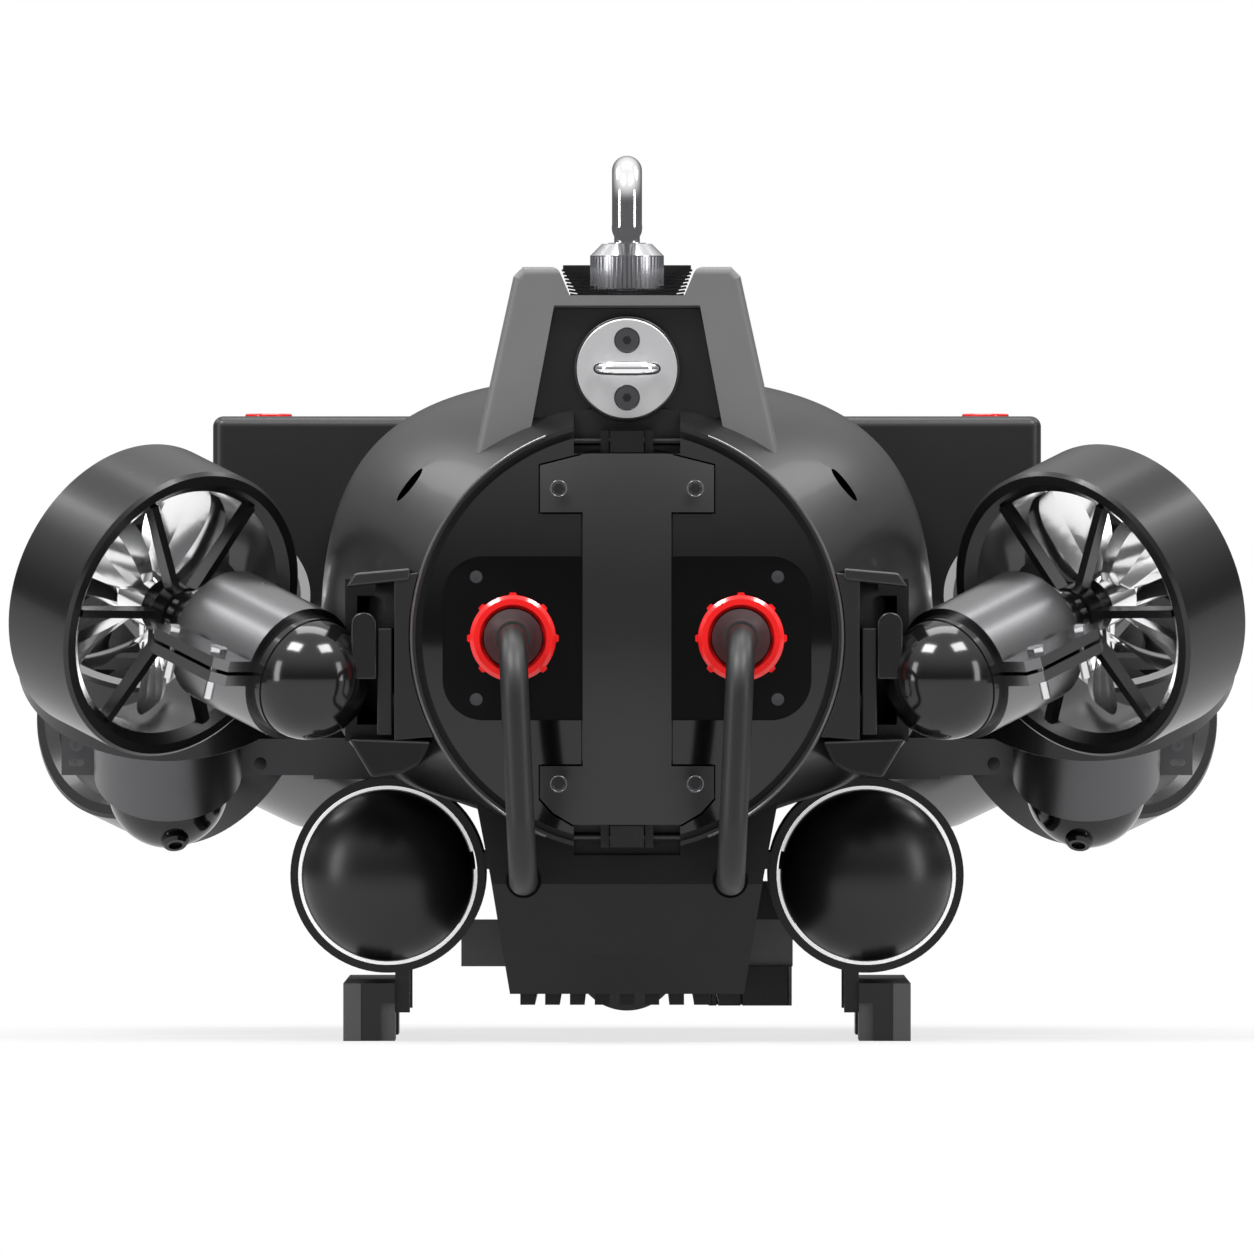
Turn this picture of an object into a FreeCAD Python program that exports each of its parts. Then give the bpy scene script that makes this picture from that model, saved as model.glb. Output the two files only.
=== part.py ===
import FreeCAD, Part
import Sketcher
import math
import os

# Underwater inspection vehicle, millimetres, +Z up, stern towards -Y, bow towards +Y.
# The origin is the middle of the base of its bounding box.

V = FreeCAD.Vector
doc = FreeCAD.newDocument("InspectionRov")
sheet = doc.addObject("Spreadsheet::Sheet", "sizes")

SIZES = [
    # hull
    ("hull_z", 170.0), ("hull_stern_y", -196.0), ("hull_stern_rad", 90.3), ("hull_wide_y", -96.0),
    ("hull_half_width", 129.0), ("hull_half_top", 110.0), ("hull_half_low", 75.0),
    ("hull_fore_y", 150.0), ("hull_bow_y", 255.0), ("hull_bow_rad", 86.0), ("hull_bore_rad", 79.0), ("hull_pass_rad", 64.0), ("hull_bore_deep", 31.0),
    ("hull_square", 0.75), ("hull_wall", 8.0), ("slit_len", 17.0), ("slit_wide", 3.0), ("slit_x", 91.0), ("slit_z", 233.5),
    # stern cap, its seal and its strap
    ("cap_rad", 85.6), ("cap_rim", 6.0), ("cap_bulge", 16.0), ("cap_neck_rad", 78.6), ("cap_neck_len", 18.0),
    ("seal_deep", 3.0), ("pocket_wide", 77.0), ("pocket_tall", 68.5), 
    ("strap_web", 37.0), ("strap_ear", 72.6), ("strap_ear_tall", 24.5), ("strap_top", 76.3), ("strap_foot", 78.7),
    ("strap_thick", 5.0), ("strap_screw_x", 28.5), ("strap_screw_z", 61.6), ("strap_gap", 0.6),
    ("strap_hole_rad", 2.7), ("bay_wide", 44.5), ("bay_deep", 18.0), ("bay_top_z", 97.0), ("bay_foot_z", 91.5),
    # latches
    ("latch_wide", 14.0), ("latch_thick", 5.5), ("latch_pin_rad", 1.6),
    # connectors and leads
    ("plug_x", 47.6), ("plug_z", 169.2), ("collar_rad", 18.0), ("collar_bore", 12.6), ("collar_deep", 11.0),
    ("collar_lug", 1.6), ("plug_rad", 12.2), ("lead_rad", 6.0), ("lead_bend", 26.0), ("lead_out", 27.0),
    ("lead_foot_x", 43.2), ("gland_rad", 7.4), ("lead_foot_z", 68.0),
    # tower, grille and lifting point
    ("tower_stern_y", -182.0), ("tower_long", 104.0), ("tower_top_z", 324.5), ("tower_base_z", 236.0),
    ("tower_half_base", 66.0), ("tower_half_top", 43.5), ("tower_recess", 7.0), ("notch_half_top", 29.0),
    ("notch_half_low", 24.0), ("notch_z", 312.6), ("well_floor_z", 300.0), ("slat_count", 9.0), ("slat_thick", 2.0),
    ("slat_rise", 7.0), ("anchor_rad", 21.0), ("anchor_z", 281.8), ("anchor_thick", 5.0), ("anchor_screw_z", 12.0),
    ("anchor_head_rad", 5.1), ("staple_wide", 29.0), ("staple_rod", 2.9), ("staple_out", 17.0),
    ("knurl_rad", 15.5), ("knurl_tall", 19.3), ("knurl_z", 315.4), ("knurl_count", 48.0), ("knurl_bore", 8.3),
    ("stud_rad", 8.0), ("shackle_rod", 6.3), ("shackle_span", 26.0), ("shackle_top_z", 371.7),
    ("shackle_eye_z", 341.5), ("shackle_pin_rad", 3.0), ("running_gap", 0.06), ("part_gap", 0.3),
    # vectored and vertical thrusters
    ("duct_rad", 63.0), ("duct_bore", 53.5), ("duct_long", 40.0), ("duct_lip", 4.0), ("strut_count", 6.0),
    ("strut_thick", 3.4), ("strut_deep", 6.0), ("strut_ring", 11.0), ("pod_rad", 26.2), ("pod_start", 26.0),
    ("pod_end", 84.0), ("nose_start", 6.0), ("prop_rad", 50.8), ("prop_hub", 11.5),
    ("prop_z", -14.0), ("prop_deep", 20.0), ("prop_thick", 1.6), ("prop_shaft", 3.0),
    ("clamp_rad", 28.8), ("clamp_start", 28.0), ("clamp_end", 78.0), ("flange_out", 15.0), ("flange_thick", 4.6),
    ("clamp_split", 1.6), ("clamp_bolt_rad", 2.0), ("clamp_bolt_pitch", 27.0), ("clamp_bolt_out", 8.5),
    ("rear_rim_x", 186.5), ("rear_rim_y", -124.0), ("rear_rim_z", 178.9),
    ("fore_rim_x", 182.0), ("fore_rim_y", 215.0), ("fore_rim_z", 139.0),
    ("lift_rim_x", 196.0), ("lift_rim_y", 30.0), ("lift_rim_z", 156.5), ("shroud_rad", 31.5),
    ("shroud_start", 20.0), ("shroud_end", 59.0), ("vent_plug_rad", 4.6),
    # side beams
    ("beam_low_z", 110.5), ("beam_top_z", 126.0), ("beam_y", 98.0), ("beam_thick", 3.0), ("beam_out_x", 242.0),
    ("beam_in_x", 134.0), ("beam_hole_x", 157.0), ("beam_hole_rad", 2.8), ("tab_wide", 14.0), ("tab_top_z", 132.0),
    # battery pods
    ("pod_out_x", 177.0), ("pod_in_x", 101.0), ("pod_low_z", 182.0), ("pod_top_z", 264.0), ("pod_stern_y", 83.0),
    ("pod_long", 70.0), ("pod_round", 4.5), ("vent_x", 153.6), ("vent_rad", 10.0), ("vent_proud", 1.3),
    # keel
    ("keel_top_half", 66.0), ("keel_mid_half", 57.2), ("keel_low_half", 49.0), ("keel_top_z", 116.0),
    ("keel_mid_z", 70.0), ("keel_crease_z", 37.2), ("keel_low_z", 20.3), ("keel_stern_y", -186.0),
    ("keel_long", 400.0), ("keel_slope", 16.0), ("rib_pitch", 10.4), ("rib_deep", 4.6), ("rib_wide", 6.2),
    # lamps, rings and skids
    ("lamp_x", 100.6), ("lamp_z", 69.5), ("lamp_rad", 36.1), ("lamp_stern_y", -150.0), ("lamp_long", 220.0), ("lamp_dome", 29.0),
    ("ring_rad", 41.0), ("ring_bore", 37.7), ("ring_long", 9.0), ("ring_fore_y", 30.0), ("ring_aft_y", -116.0),
    ("skid_out_x", 119.2), ("skid_in_x", 103.9), ("skid_low_z", 0.0), ("skid_top_z", 24.2),
    ("skid_stern_y", -128.0), ("skid_long", 300.0), ("weight_wide", 6.8), ("weight_tall", 15.8),
    # bow
    ("dome_rad", 76.0), ("dome_thick", 4.0), ("bezel_deep", 14.0), ("cam_rad", 22.0),
    ("tool_half", 71.6), ("tool_low_z", 27.3), ("tool_top_z", 47.5), ("tool_deep", 12.0),
    ("sonar_x", 35.2), ("sonar_wide", 36.0), ("eye_rad", 23.0), ("eye_z", 31.0),
]

for row, (alias, value) in enumerate(SIZES, start=1):
    sheet.set("A%d" % row, alias)
    sheet.set("B%d" % row, str(value))
    sheet.setAlias("B%d" % row, alias)
doc.recompute()


def size(expression):
    """The value of an expression written over the sheet's names."""
    text = str(expression)
    try:
        return float(text)
    except ValueError:
        return float(FreeCAD.Units.Quantity(sheet.evalExpression(text)).Value)


def bound(expression):
    """The same expression with each of its names read from the sheet."""
    out = ""
    word = ""
    for letter in str(expression) + " ":
        if letter.isalpha() or letter == "_" or (word and letter.isdigit()):
            word += letter
            continue
        if word in ("sin", "cos", "tan", "sqrt"):
            out += word
        elif word:
            out += "sizes." + word
        word = ""
        out += letter
    return out.strip()


def value(expression):
    """The number that an expression over the sheet's names stands for."""
    return size(bound(expression))


NODES = []
doc.recompute()


def node(label, obj):
    """Name a finished piece: its label is its file's name."""
    obj.Label = label
    NODES.append(obj)
    return obj


def make_body(name):
    body = doc.addObject("PartDesign::Body", name)
    planes = {item.Role: item for item in body.Origin.OriginFeatures}
    return body, planes


def bind(obj, prop, expression):
    obj.setExpression(prop, bound(expression))


def outline(body, planes, plane, corners, name):
    """A closed sketch of straight edges, each corner bound to the sheet."""
    sketch = body.newObject("Sketcher::SketchObject", name)
    sketch.AttachmentSupport = [(planes[plane], "")]
    sketch.MapMode = "FlatFace"
    spots = [V(value(a), value(b), 0) for a, b in corners]
    count = len(spots)
    for i in range(count):
        sketch.addGeometry(Part.LineSegment(spots[i], spots[(i + 1) % count]))
    for i in range(count):
        sketch.addConstraint(Sketcher.Constraint("Coincident", i, 2, (i + 1) % count, 1))
    for i, (a, b) in enumerate(corners):
        for kind, text, number in (("DistanceX", a, spots[i].x), ("DistanceY", b, spots[i].y)):
            mark = sketch.addConstraint(Sketcher.Constraint(kind, -1, 1, i, 1, number))
            if any(letter.isalpha() for letter in str(text)):
                sketch.setExpression("Constraints[%d]" % mark, bound(text))
    return sketch


def discs(body, planes, plane, circles, name):
    """A sketch of circles, each given as centre and radius expressions."""
    sketch = body.newObject("Sketcher::SketchObject", name)
    sketch.AttachmentSupport = [(planes[plane], "")]
    sketch.MapMode = "FlatFace"
    for i, (a, b, rad) in enumerate(circles):
        spot = V(value(a), value(b), 0)
        sketch.addGeometry(Part.Circle(spot, V(0, 0, 1), value(rad)))
        for kind, text, number in (("DistanceX", a, spot.x), ("DistanceY", b, spot.y)):
            mark = sketch.addConstraint(Sketcher.Constraint(kind, -1, 1, i, 3, number))
            if any(letter.isalpha() for letter in str(text)):
                sketch.setExpression("Constraints[%d]" % mark, bound(text))
        mark = sketch.addConstraint(Sketcher.Constraint("Radius", i, value(rad)))
        if any(letter.isalpha() for letter in str(rad)):
            sketch.setExpression("Constraints[%d]" % mark, bound(rad))
    return sketch


def turned(label, corners, start=None):
    """A body turned about its own Z axis from a half profile (radius, height)."""
    body, planes = start or make_body(label)
    sketch = outline(body, planes, "XZ_Plane", corners, label + "_profile")
    turn = body.newObject("PartDesign::Revolution", label + "_turn")
    turn.Profile = sketch
    turn.ReferenceAxis = (sketch, ["V_Axis"])
    turn.Angle = 360
    sketch.Visibility = False
    return body, planes


def pad(body, sketch, depth, name, reverse=False, both=False):
    feature = body.newObject("PartDesign::Pad", name)
    feature.Profile = sketch
    feature.Length = value(depth)
    bind(feature, "Length", depth)
    feature.Reversed = reverse
    if both:
        feature.SideType = "Symmetric"
    return feature


def pocket(body, sketch, depth, name, reverse=False, both=False):
    feature = body.newObject("PartDesign::Pocket", name)
    feature.Profile = sketch
    feature.Length = value(depth)
    bind(feature, "Length", depth)
    feature.Reversed = reverse
    if both:
        feature.SideType = "Symmetric"
    return feature


def ring_of(body, planes, feature, count, name, role="Z_Axis"):
    pattern = body.newObject("PartDesign::PolarPattern", name)
    pattern.Originals = [feature]
    pattern.Axis = (planes[role], [""])
    pattern.Angle = 360
    pattern.Occurrences = int(value(count))
    body.Tip = pattern
    return pattern


def prism(label, plane, corners, depth, reverse=False, both=False):
    """A body that is one padded outline."""
    body, planes = make_body(label)
    sketch = outline(body, planes, plane, corners, label + "_outline")
    pad(body, sketch, depth, label + "_pad", reverse, both)
    return body, planes


def block(name, low, high):
    """A Part box between two corners, each corner three expressions."""
    obj = doc.addObject("Part::Box", name)
    for prop, a, b in zip(("Length", "Width", "Height"), low, high):
        bind(obj, prop, "(%s) - (%s)" % (b, a))
    bind(obj, "Placement.Base.x", low[0])
    bind(obj, "Placement.Base.y", low[1])
    bind(obj, "Placement.Base.z", low[2])
    return obj


def rod(name, rad, length, place):
    obj = doc.addObject("Part::Cylinder", name)
    bind(obj, "Radius", rad)
    bind(obj, "Height", length)
    obj.Placement = place
    return obj


def cut(name, base, tool):
    obj = doc.addObject("Part::Cut", name)
    obj.Base = base
    obj.Tool = tool
    return obj


def fuse(name, pieces):
    obj = doc.addObject("Part::MultiFuse", name)
    obj.Shapes = pieces
    return obj


def common(name, pieces):
    obj = doc.addObject("Part::MultiCommon", name)
    obj.Shapes = pieces
    return obj


def shaped(name, shape):
    obj = doc.addObject("Part::Feature", name)
    obj.Shape = shape
    return obj


def frame(origin, along, side):
    """A placement with its Z on the first direction and its X on the second."""
    zdir = V(*along).normalize()
    xdir = V(*side)
    xdir = (xdir - zdir * xdir.dot(zdir)).normalize()
    ydir = zdir.cross(xdir)
    turn = FreeCAD.Rotation(xdir, ydir, zdir, "ZXY")
    return FreeCAD.Placement(V(*origin), turn)


def at(x, y, z):
    return FreeCAD.Placement(V(value(x), value(y), value(z)), FreeCAD.Rotation())


# A piece turned on its own Z axis points aft with this rotation: its Z becomes -Y.
AFT = FreeCAD.Rotation(V(1, 0, 0), 90)
SIDES = (("port", -1), ("starboard", 1))

# ---------------------------------------------------------------- hull


def oval(y, blend, inset):
    """A closed section of the hull: a circle at blend 0, the full squarish oval at 1."""
    end = value("hull_stern_rad") if y < 0 else value("hull_bow_rad")
    wide = end + (value("hull_half_width") - end) * blend - inset
    top = end + (value("hull_half_top") - end) * blend - inset
    low = end + (value("hull_half_low") - end) * blend - inset
    full = 0.5523 + (value("hull_square") - 0.5523) * blend
    mid = value("hull_z")
    edges = []
    for sx, sz in ((1, 1), (-1, 1), (-1, -1), (1, -1)):
        rise = sz * (top if sz > 0 else low)
        spots = [V(sx * wide, y, mid), V(sx * wide, y, mid + full * rise),
                 V(sx * wide * full, y, mid + rise), V(0, y, mid + rise)]
        if sx * sz < 0:
            spots.reverse()
        curve = Part.BezierCurve()
        curve.setPoles(spots)
        edges.append(curve.toShape())
    return Part.Wire(edges)


def hull_loft(stern, wide, fore, bow):
    """The hull's form: round ends swelling into the squarish middle."""
    steps = (0.0, 0.25, 0.5, 0.75, 1.0)
    blends = [math.sin(math.pi / 2 * part) for part in steps]
    stern_wires = [oval(stern + (wide - stern) * part, k, 0) for part, k in zip(steps, blends)]
    bow_wires = [oval(bow + (fore - bow) * part, k, 0) for part, k in zip(steps, blends)]
    middle = Part.Face(oval(wide, 1.0, 0)).extrude(V(0, fore - wide, 0))
    aft_end = Part.makeLoft(stern_wires, True, False)
    fore_end = Part.makeLoft(bow_wires, True, False)
    return middle.fuse([aft_end, fore_end]).removeSplitter()


hull_form = shaped("hull_form", hull_loft(value("hull_stern_y"), value("hull_wide_y"),
                                          value("hull_fore_y"), value("hull_bow_y")))
hull_room = shaped("hull_room", Part.Face(oval(value("hull_wide_y + 2"), 1.0, value("hull_wall"))).extrude(
    V(0, value("hull_fore_y - hull_wide_y - 4"), 0)))
passage = rod("hull_passage", "hull_pass_rad", "hull_bow_y - hull_stern_y + 20",
              FreeCAD.Placement(V(0, value("hull_bow_y + 10"), value("hull_z")), AFT))
bore = rod("hull_bore", "hull_bore_rad", "hull_bore_deep + 10",
           FreeCAD.Placement(V(0, value("hull_stern_y + hull_bore_deep"), value("hull_z")), AFT))
bow_bore = rod("hull_bow_bore", "hull_bore_rad", "hull_bore_deep + 10",
               FreeCAD.Placement(V(0, value("hull_bow_y + 10"), value("hull_z")), AFT))
step = rod("hull_step", "hull_stern_rad - 1.8", "9", FreeCAD.Placement(
    V(0, value("hull_stern_y + 8"), value("hull_z")), AFT))
bay = block("bay_top", ("-bay_wide / 2", "hull_stern_y - 20", "hull_z + strap_top"),
            ("bay_wide / 2", "hull_stern_y + bay_deep", "hull_z + bay_top_z"))
bay_low = block("bay_bottom", ("-bay_wide / 2", "hull_stern_y - 20", "hull_z - bay_foot_z"),
                ("bay_wide / 2", "hull_stern_y + bay_deep", "hull_z - strap_foot"))
slits = []
for side, sign in SIDES:
    lens = Part.Ellipse(V(0, 0, 0), value("slit_len / 2"), value("slit_wide / 2"))
    face = Part.Face(Part.Wire([lens.toShape()]))
    slot = shaped("slit_" + side, face.extrude(V(0, 0, 160)))
    turn = FreeCAD.Rotation(V(1, 0, 0), 90) * FreeCAD.Rotation(V(0, 0, 1), -52 * sign)
    slot.Placement = FreeCAD.Placement(V(sign * value("slit_x"), value("hull_wide_y + 45"), value("slit_z")), turn)
    slits.append(slot)
hull_tools = fuse("hull_tools", [hull_room, passage, bore, bow_bore, step, bay, bay_low] + slits)
node("hull_shell", cut("hull_cut", hull_form, hull_tools))

# ---------------------------------------------------------------- stern cap

seat_y = value("hull_stern_y + 8")
ball_rad = (value("cap_rad") ** 2 + value("cap_bulge") ** 2) / (2 * value("cap_bulge"))
flange_y = seat_y - value("seal_deep") - value("cap_rim")
ball_y = flange_y - value("cap_bulge") + ball_rad


def ball(name, extra):
    obj = doc.addObject("Part::Sphere", name)
    obj.Radius = ball_rad + extra
    obj.Placement = FreeCAD.Placement(V(0, ball_y, value("hull_z")), FreeCAD.Rotation())
    return obj


seal, seal_planes = turned("rear_seal_ring", [
    ("hull_bore_rad + 0.6", "0"), ("cap_rad + 0.8", "0"), ("cap_rad + 0.8", "seal_deep"),
    ("hull_bore_rad + 0.6", "seal_deep")])
seal.Placement = FreeCAD.Placement(V(0, seat_y, value("hull_z")), AFT)
node("rear_seal", cut("seal_cut", seal, fuse("seal_bays", [bay, bay_low])))

flange = rod("cap_flange", "cap_rad", "cap_rim + cap_bulge + 1",
             FreeCAD.Placement(V(0, seat_y - value("seal_deep"), value("hull_z")), AFT))
dome = common("cap_dome", [flange, ball("cap_ball", 0)])
neck = rod("cap_neck", "cap_neck_rad", "cap_neck_len", FreeCAD.Placement(
    V(0, seat_y - value("seal_deep") + value("cap_neck_len"), value("hull_z")), AFT))
cap_solid = fuse("cap_solid", [dome, neck])


def strap_outline(gap):
    """The cover strap seen from astern: a web with an ear at each corner, grown by a gap."""
    web = value("strap_web") / 2 + gap
    ear = value("strap_ear") / 2 + gap
    half = value("strap_top + strap_foot") / 2 + gap
    inner = half - value("strap_ear_tall") - 2 * gap
    mid = value("hull_z + (strap_top - strap_foot) / 2")
    nick = 5.5
    pts = [(-ear, -half + 2 * nick), (-ear + nick, -half + nick * 0.9), (-web - 4, -half), (web + 4, -half),
           (ear - nick, -half + nick * 0.9), (ear, -half + 2 * nick), (ear, -inner), (web, -inner), (web, inner),
           (ear, inner), (ear, half - nick * 0.9), (web - 2, half), (-web + 2, half), (-ear, half - nick * 0.9),
           (-ear, inner), (-web, inner), (-web, -inner), (-ear, -inner)]
    spots = [V(x, flange_y - 40, mid + z) for x, z in pts]
    return Part.Face(Part.makePolygon(spots + [spots[0]])).extrude(V(0, 60, 0))


groove = cut("cap_groove", shaped("strap_seat", strap_outline(value("strap_gap"))),
             ball("groove_ball", -value("strap_thick") + 2))
pockets = []
floor_y = flange_y - 2.2
for side, sign in SIDES:
    low = ("%d * strap_web / 2" % sign) if sign > 0 else "-pocket_wide"
    high = "pocket_wide" if sign > 0 else "-strap_web / 2"
    hollow = block("pocket_" + side, (low, str(floor_y - 30), "plug_z - pocket_tall / 2"),
                   (high, str(floor_y), "plug_z + pocket_tall / 2"))
    doc.recompute()
    outer = [i + 1 for i, e in enumerate(hollow.Shape.Edges)
             if abs(e.BoundBox.YLength - 30) < 0.01 and sign * e.BoundBox.Center.x > 50]
    soft = doc.addObject("Part::Fillet", "pocket_soft_" + side)
    soft.Base = hollow
    soft.Edges = [(i, 17.0, 17.0) for i in outer]
    pockets.append(soft)
plug_holes = []
for side, sign in SIDES:
    plug_holes.append(rod("plug_hole_" + side, "collar_bore - 4", "12", FreeCAD.Placement(
        V(sign * value("plug_x"), floor_y + 8, value("plug_z")), AFT)))
cap_spots = [(sx * 63.0, value("plug_z") + sz * 25.6, floor_y) for sx in (-1, 1) for sz in (-1, 1)]
strap_spots = []
for sx in (-1, 1):
    for z in (value("hull_z + strap_screw_z - 1.2"), value("hull_z - strap_screw_z - 0.6")):
        x = sx * value("strap_screw_x")
        reach = (ball_rad + 2) ** 2 - x ** 2 - (z - value("hull_z")) ** 2
        strap_spots.append((x, z, ball_y - math.sqrt(reach)))
cap_holes = [rod("cap_hole_%d" % i, "strap_hole_rad", "8", FreeCAD.Placement(V(x, y + 6, z), AFT))
             for i, (x, z, y) in enumerate(cap_spots)]
strap_taps = [rod("strap_tap_%d" % i, "strap_hole_rad - 1", "14", FreeCAD.Placement(V(x, y + 13, z), AFT))
              for i, (x, z, y) in enumerate(strap_spots)]
cap_tools = fuse("cap_tools", [groove] + pockets + plug_holes + cap_holes + [bay, bay_low] + strap_taps)
node("rear_cap", cut("cap_cut", cap_solid, cap_tools))

strap_body = common("strap_body", [shaped("strap_prism", strap_outline(0)), ball("strap_top", 2)])
strap_holes = fuse("strap_holes", [rod("strap_hole_%d" % i, "strap_hole_rad", "9", FreeCAD.Placement(
    V(x, y + 3, z), AFT)) for i, (x, z, y) in enumerate(strap_spots)] + [
    rod("strap_through_%d" % i, "strap_hole_rad - 1", "14", FreeCAD.Placement(V(x, y + 13, z), AFT))
    for i, (x, z, y) in enumerate(strap_spots)])
strap_inner = fuse("strap_inner", [ball("strap_under", -value("strap_thick") + 2), strap_holes])
node("cover_strap", cut("strap_cut", strap_body, strap_inner))

# Countersunk socket screws: a head with a hexagon socket and a short shank.


def socket_screw(head, tall, shank, reach, key):
    """A screw along +Z, its head's top at zero."""
    body = Part.makeCylinder(head, tall, V(0, 0, -tall))
    body = body.fuse(Part.makeCylinder(shank, reach, V(0, 0, -tall - reach)))
    hexagon = [V(key * math.cos(math.pi / 3 * i), key * math.sin(math.pi / 3 * i), 0.1) for i in range(7)]
    return body.cut(Part.Face(Part.makePolygon(hexagon)).extrude(V(0, 0, -tall * 0.6)))


screws = []
for x, z, y in cap_spots:
    piece = socket_screw(value("strap_hole_rad") - 0.05, 3.0, 1.6, 0.5, 1.3)
    piece.Placement = FreeCAD.Placement(V(x, y + 2.5, z), AFT)
    screws.append(piece)
for x, z, y in strap_spots:
    piece = socket_screw(value("strap_hole_rad") - 0.05, 1.4, value("strap_hole_rad") - 1.05, 7.0, 1.3)
    piece.Placement = FreeCAD.Placement(V(x, y + 1.6, z), AFT)
    screws.append(piece)

# ---------------------------------------------------------------- tower and lifting point

# The tower's outline from astern: sloped sides, bevelled shoulders and the notch on top.
tower_block, tower_planes = prism("tower_block", "XZ_Plane", [
    ("-tower_half_base", "tower_base_z"), ("tower_half_base", "tower_base_z"),
    ("tower_half_top + 4", "tower_top_z - 4"), ("tower_half_top", "tower_top_z"),
    ("notch_half_top", "tower_top_z"), ("notch_half_low", "notch_z"), ("-notch_half_low", "notch_z"),
    ("-notch_half_top", "tower_top_z"), ("-tower_half_top", "tower_top_z"),
    ("-tower_half_top - 4", "tower_top_z - 4")], "tower_long", reverse=True)
tower_block.Placement = at("0", "tower_stern_y", "0")
doc.recompute()
tower_soft = doc.addObject("Part::Fillet", "tower_soft")
tower_soft.Base = tower_block
soft_edges = []
for i, e in enumerate(tower_block.Shape.Edges):
    box = e.BoundBox
    lip = abs(abs(box.Center.x) - value("notch_half_top")) < 0.01
    if box.YLength < 0.1 and box.ZMax > value("tower_base_z + 1") and abs(box.Center.x) > value("notch_half_top + 1"):
        soft_edges.append((i + 1, 3.4, 3.4))
    elif box.YLength > 50 and lip:
        soft_edges.append((i + 1, 4.0, 4.0))
tower_soft.Edges = soft_edges
recess, recess_planes = prism("tower_recess_tool", "XZ_Plane", [
    ("-44.5", "tower_base_z - 2"), ("44.5", "tower_base_z - 2"), ("30.5", "notch_z - 4.2"), ("-30.5", "notch_z - 4.2")],
    "tower_recess + 1", reverse=True)
recess.Placement = at("0", "tower_stern_y - 1", "0")
well = block("tower_well", ("-notch_half_low + 1", "tower_stern_y + 9", "well_floor_z"),
             ("notch_half_low - 1", "tower_stern_y + tower_long - 14", "tower_top_z + 1"))
stud_hole = rod("stud_hole", "stud_rad - 2", "14", at("0", "tower_stern_y + 46", "well_floor_z - 10"))
anchor_boss = rod("anchor_boss", "anchor_rad + 0.9", "tower_recess - 2.6", FreeCAD.Placement(
    V(0, value("tower_stern_y + tower_recess"), value("anchor_z")), AFT))
tower_bay = block("tower_bay", ("-bay_wide / 2", "tower_stern_y - 5", "tower_base_z - 2"),
                  ("bay_wide / 2", "tower_stern_y + bay_deep", "hull_z + 93"))
tower_open = cut("tower_open", tower_soft, fuse("tower_cuts", [recess, well, stud_hole]))
tower_whole = fuse("tower_whole", [tower_open, anchor_boss])
node("tower", cut("tower_cut", tower_whole, fuse("tower_under", [hull_form, tower_bay])))

# Louvre over the well: sagging slats that climb forward, side rails and a cover bar.


def bowed_slat(half, y, z, deep, thick, sag):
    """A slat that spans the notch and sags in the middle."""
    top = Part.Arc(V(-half, y, z + sag), V(0, y, z), V(half, y, z + sag)).toShape()
    low = Part.Arc(V(half, y, z + sag - thick), V(0, y, z - thick), V(-half, y, z + sag - thick)).toShape()
    left = Part.LineSegment(V(half, y, z + sag), V(half, y, z + sag - thick)).toShape()
    right = Part.LineSegment(V(-half, y, z + sag - thick), V(-half, y, z + sag)).toShape()
    return Part.Face(Part.Wire([top, left, low, right])).extrude(V(0, deep, 0))


slat_half = value("notch_half_low - 1.6")
slat_total = int(value("slat_count"))
slat_run = value("tower_long - 34") / slat_total
louvre = Part.makeBox(1.4, value("tower_long - 24"), 8, V(-slat_half - 0.6, value("tower_stern_y + 9.5"),
                                                        value("well_floor_z")))
louvre = louvre.fuse(Part.makeBox(1.4, value("tower_long - 24"), 8, V(slat_half - 0.8, value("tower_stern_y + 9.5"),
                                                                    value("well_floor_z"))))
for i in range(slat_total):
    y = value("tower_stern_y + 12") + slat_run * i
    z = value("well_floor_z + 9.5") + value("slat_rise") * i / slat_total
    slat = bowed_slat(slat_half, y, z, slat_run * 0.55, value("slat_thick"), 3.2)
    louvre = louvre.fuse(slat)
    for foot in (-slat_half + 0.1, slat_half - 1.3):
        louvre = louvre.fuse(Part.makeBox(1.2, slat_run * 0.4, z + 2 - value("well_floor_z"),
                                          V(foot, y + 0.3, value("well_floor_z"))))
louvre = louvre.cut(Part.makeCylinder(value("knurl_rad + 1.4"), 60, V(0, value("tower_stern_y + 46"),
                                                                  value("well_floor_z + 4"))))
cover_bar = Part.makeBox(54, 9, 2.0, V(-27, value("tower_stern_y + tower_long - 13"), value("tower_top_z")))
cover_bar = cover_bar.fuse(Part.makeBox(40, 6, value("tower_top_z - notch_z"), V(-20, value(
    "tower_stern_y + tower_long - 11"), value("notch_z"))))
node("tower_grille", shaped("louvre", louvre.fuse(cover_bar).removeSplitter()))

# Anchor plate: a light disc with two socket screws and a bent staple.
anchor_y = value("tower_stern_y + 2.6")
disc = Part.makeCylinder(value("anchor_rad"), value("anchor_thick"))
disc = disc.makeChamfer(0.5, [e for e in disc.Edges if abs(e.BoundBox.ZMin - value("anchor_thick")) < 0.01])
for up in (1, -1):
    hole = Part.makeCylinder(value("anchor_head_rad") + 0.05, 3.2, V(0, up * value("anchor_screw_z"),
                                                                value("anchor_thick") - 3.2))
    hole = hole.fuse(Part.makeCylinder(2.5, 6, V(0, up * value("anchor_screw_z"), -0.1)))
    disc = disc.cut(hole)
    piece = socket_screw(value("anchor_head_rad"), 3.1, 2.5, 1.8, 1.9)
    piece.Placement = FreeCAD.Placement(V(0, anchor_y - value("anchor_thick") + 0.1, value("anchor_z") + up * value(
        "anchor_screw_z")), AFT)
    screws.append(piece)
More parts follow.
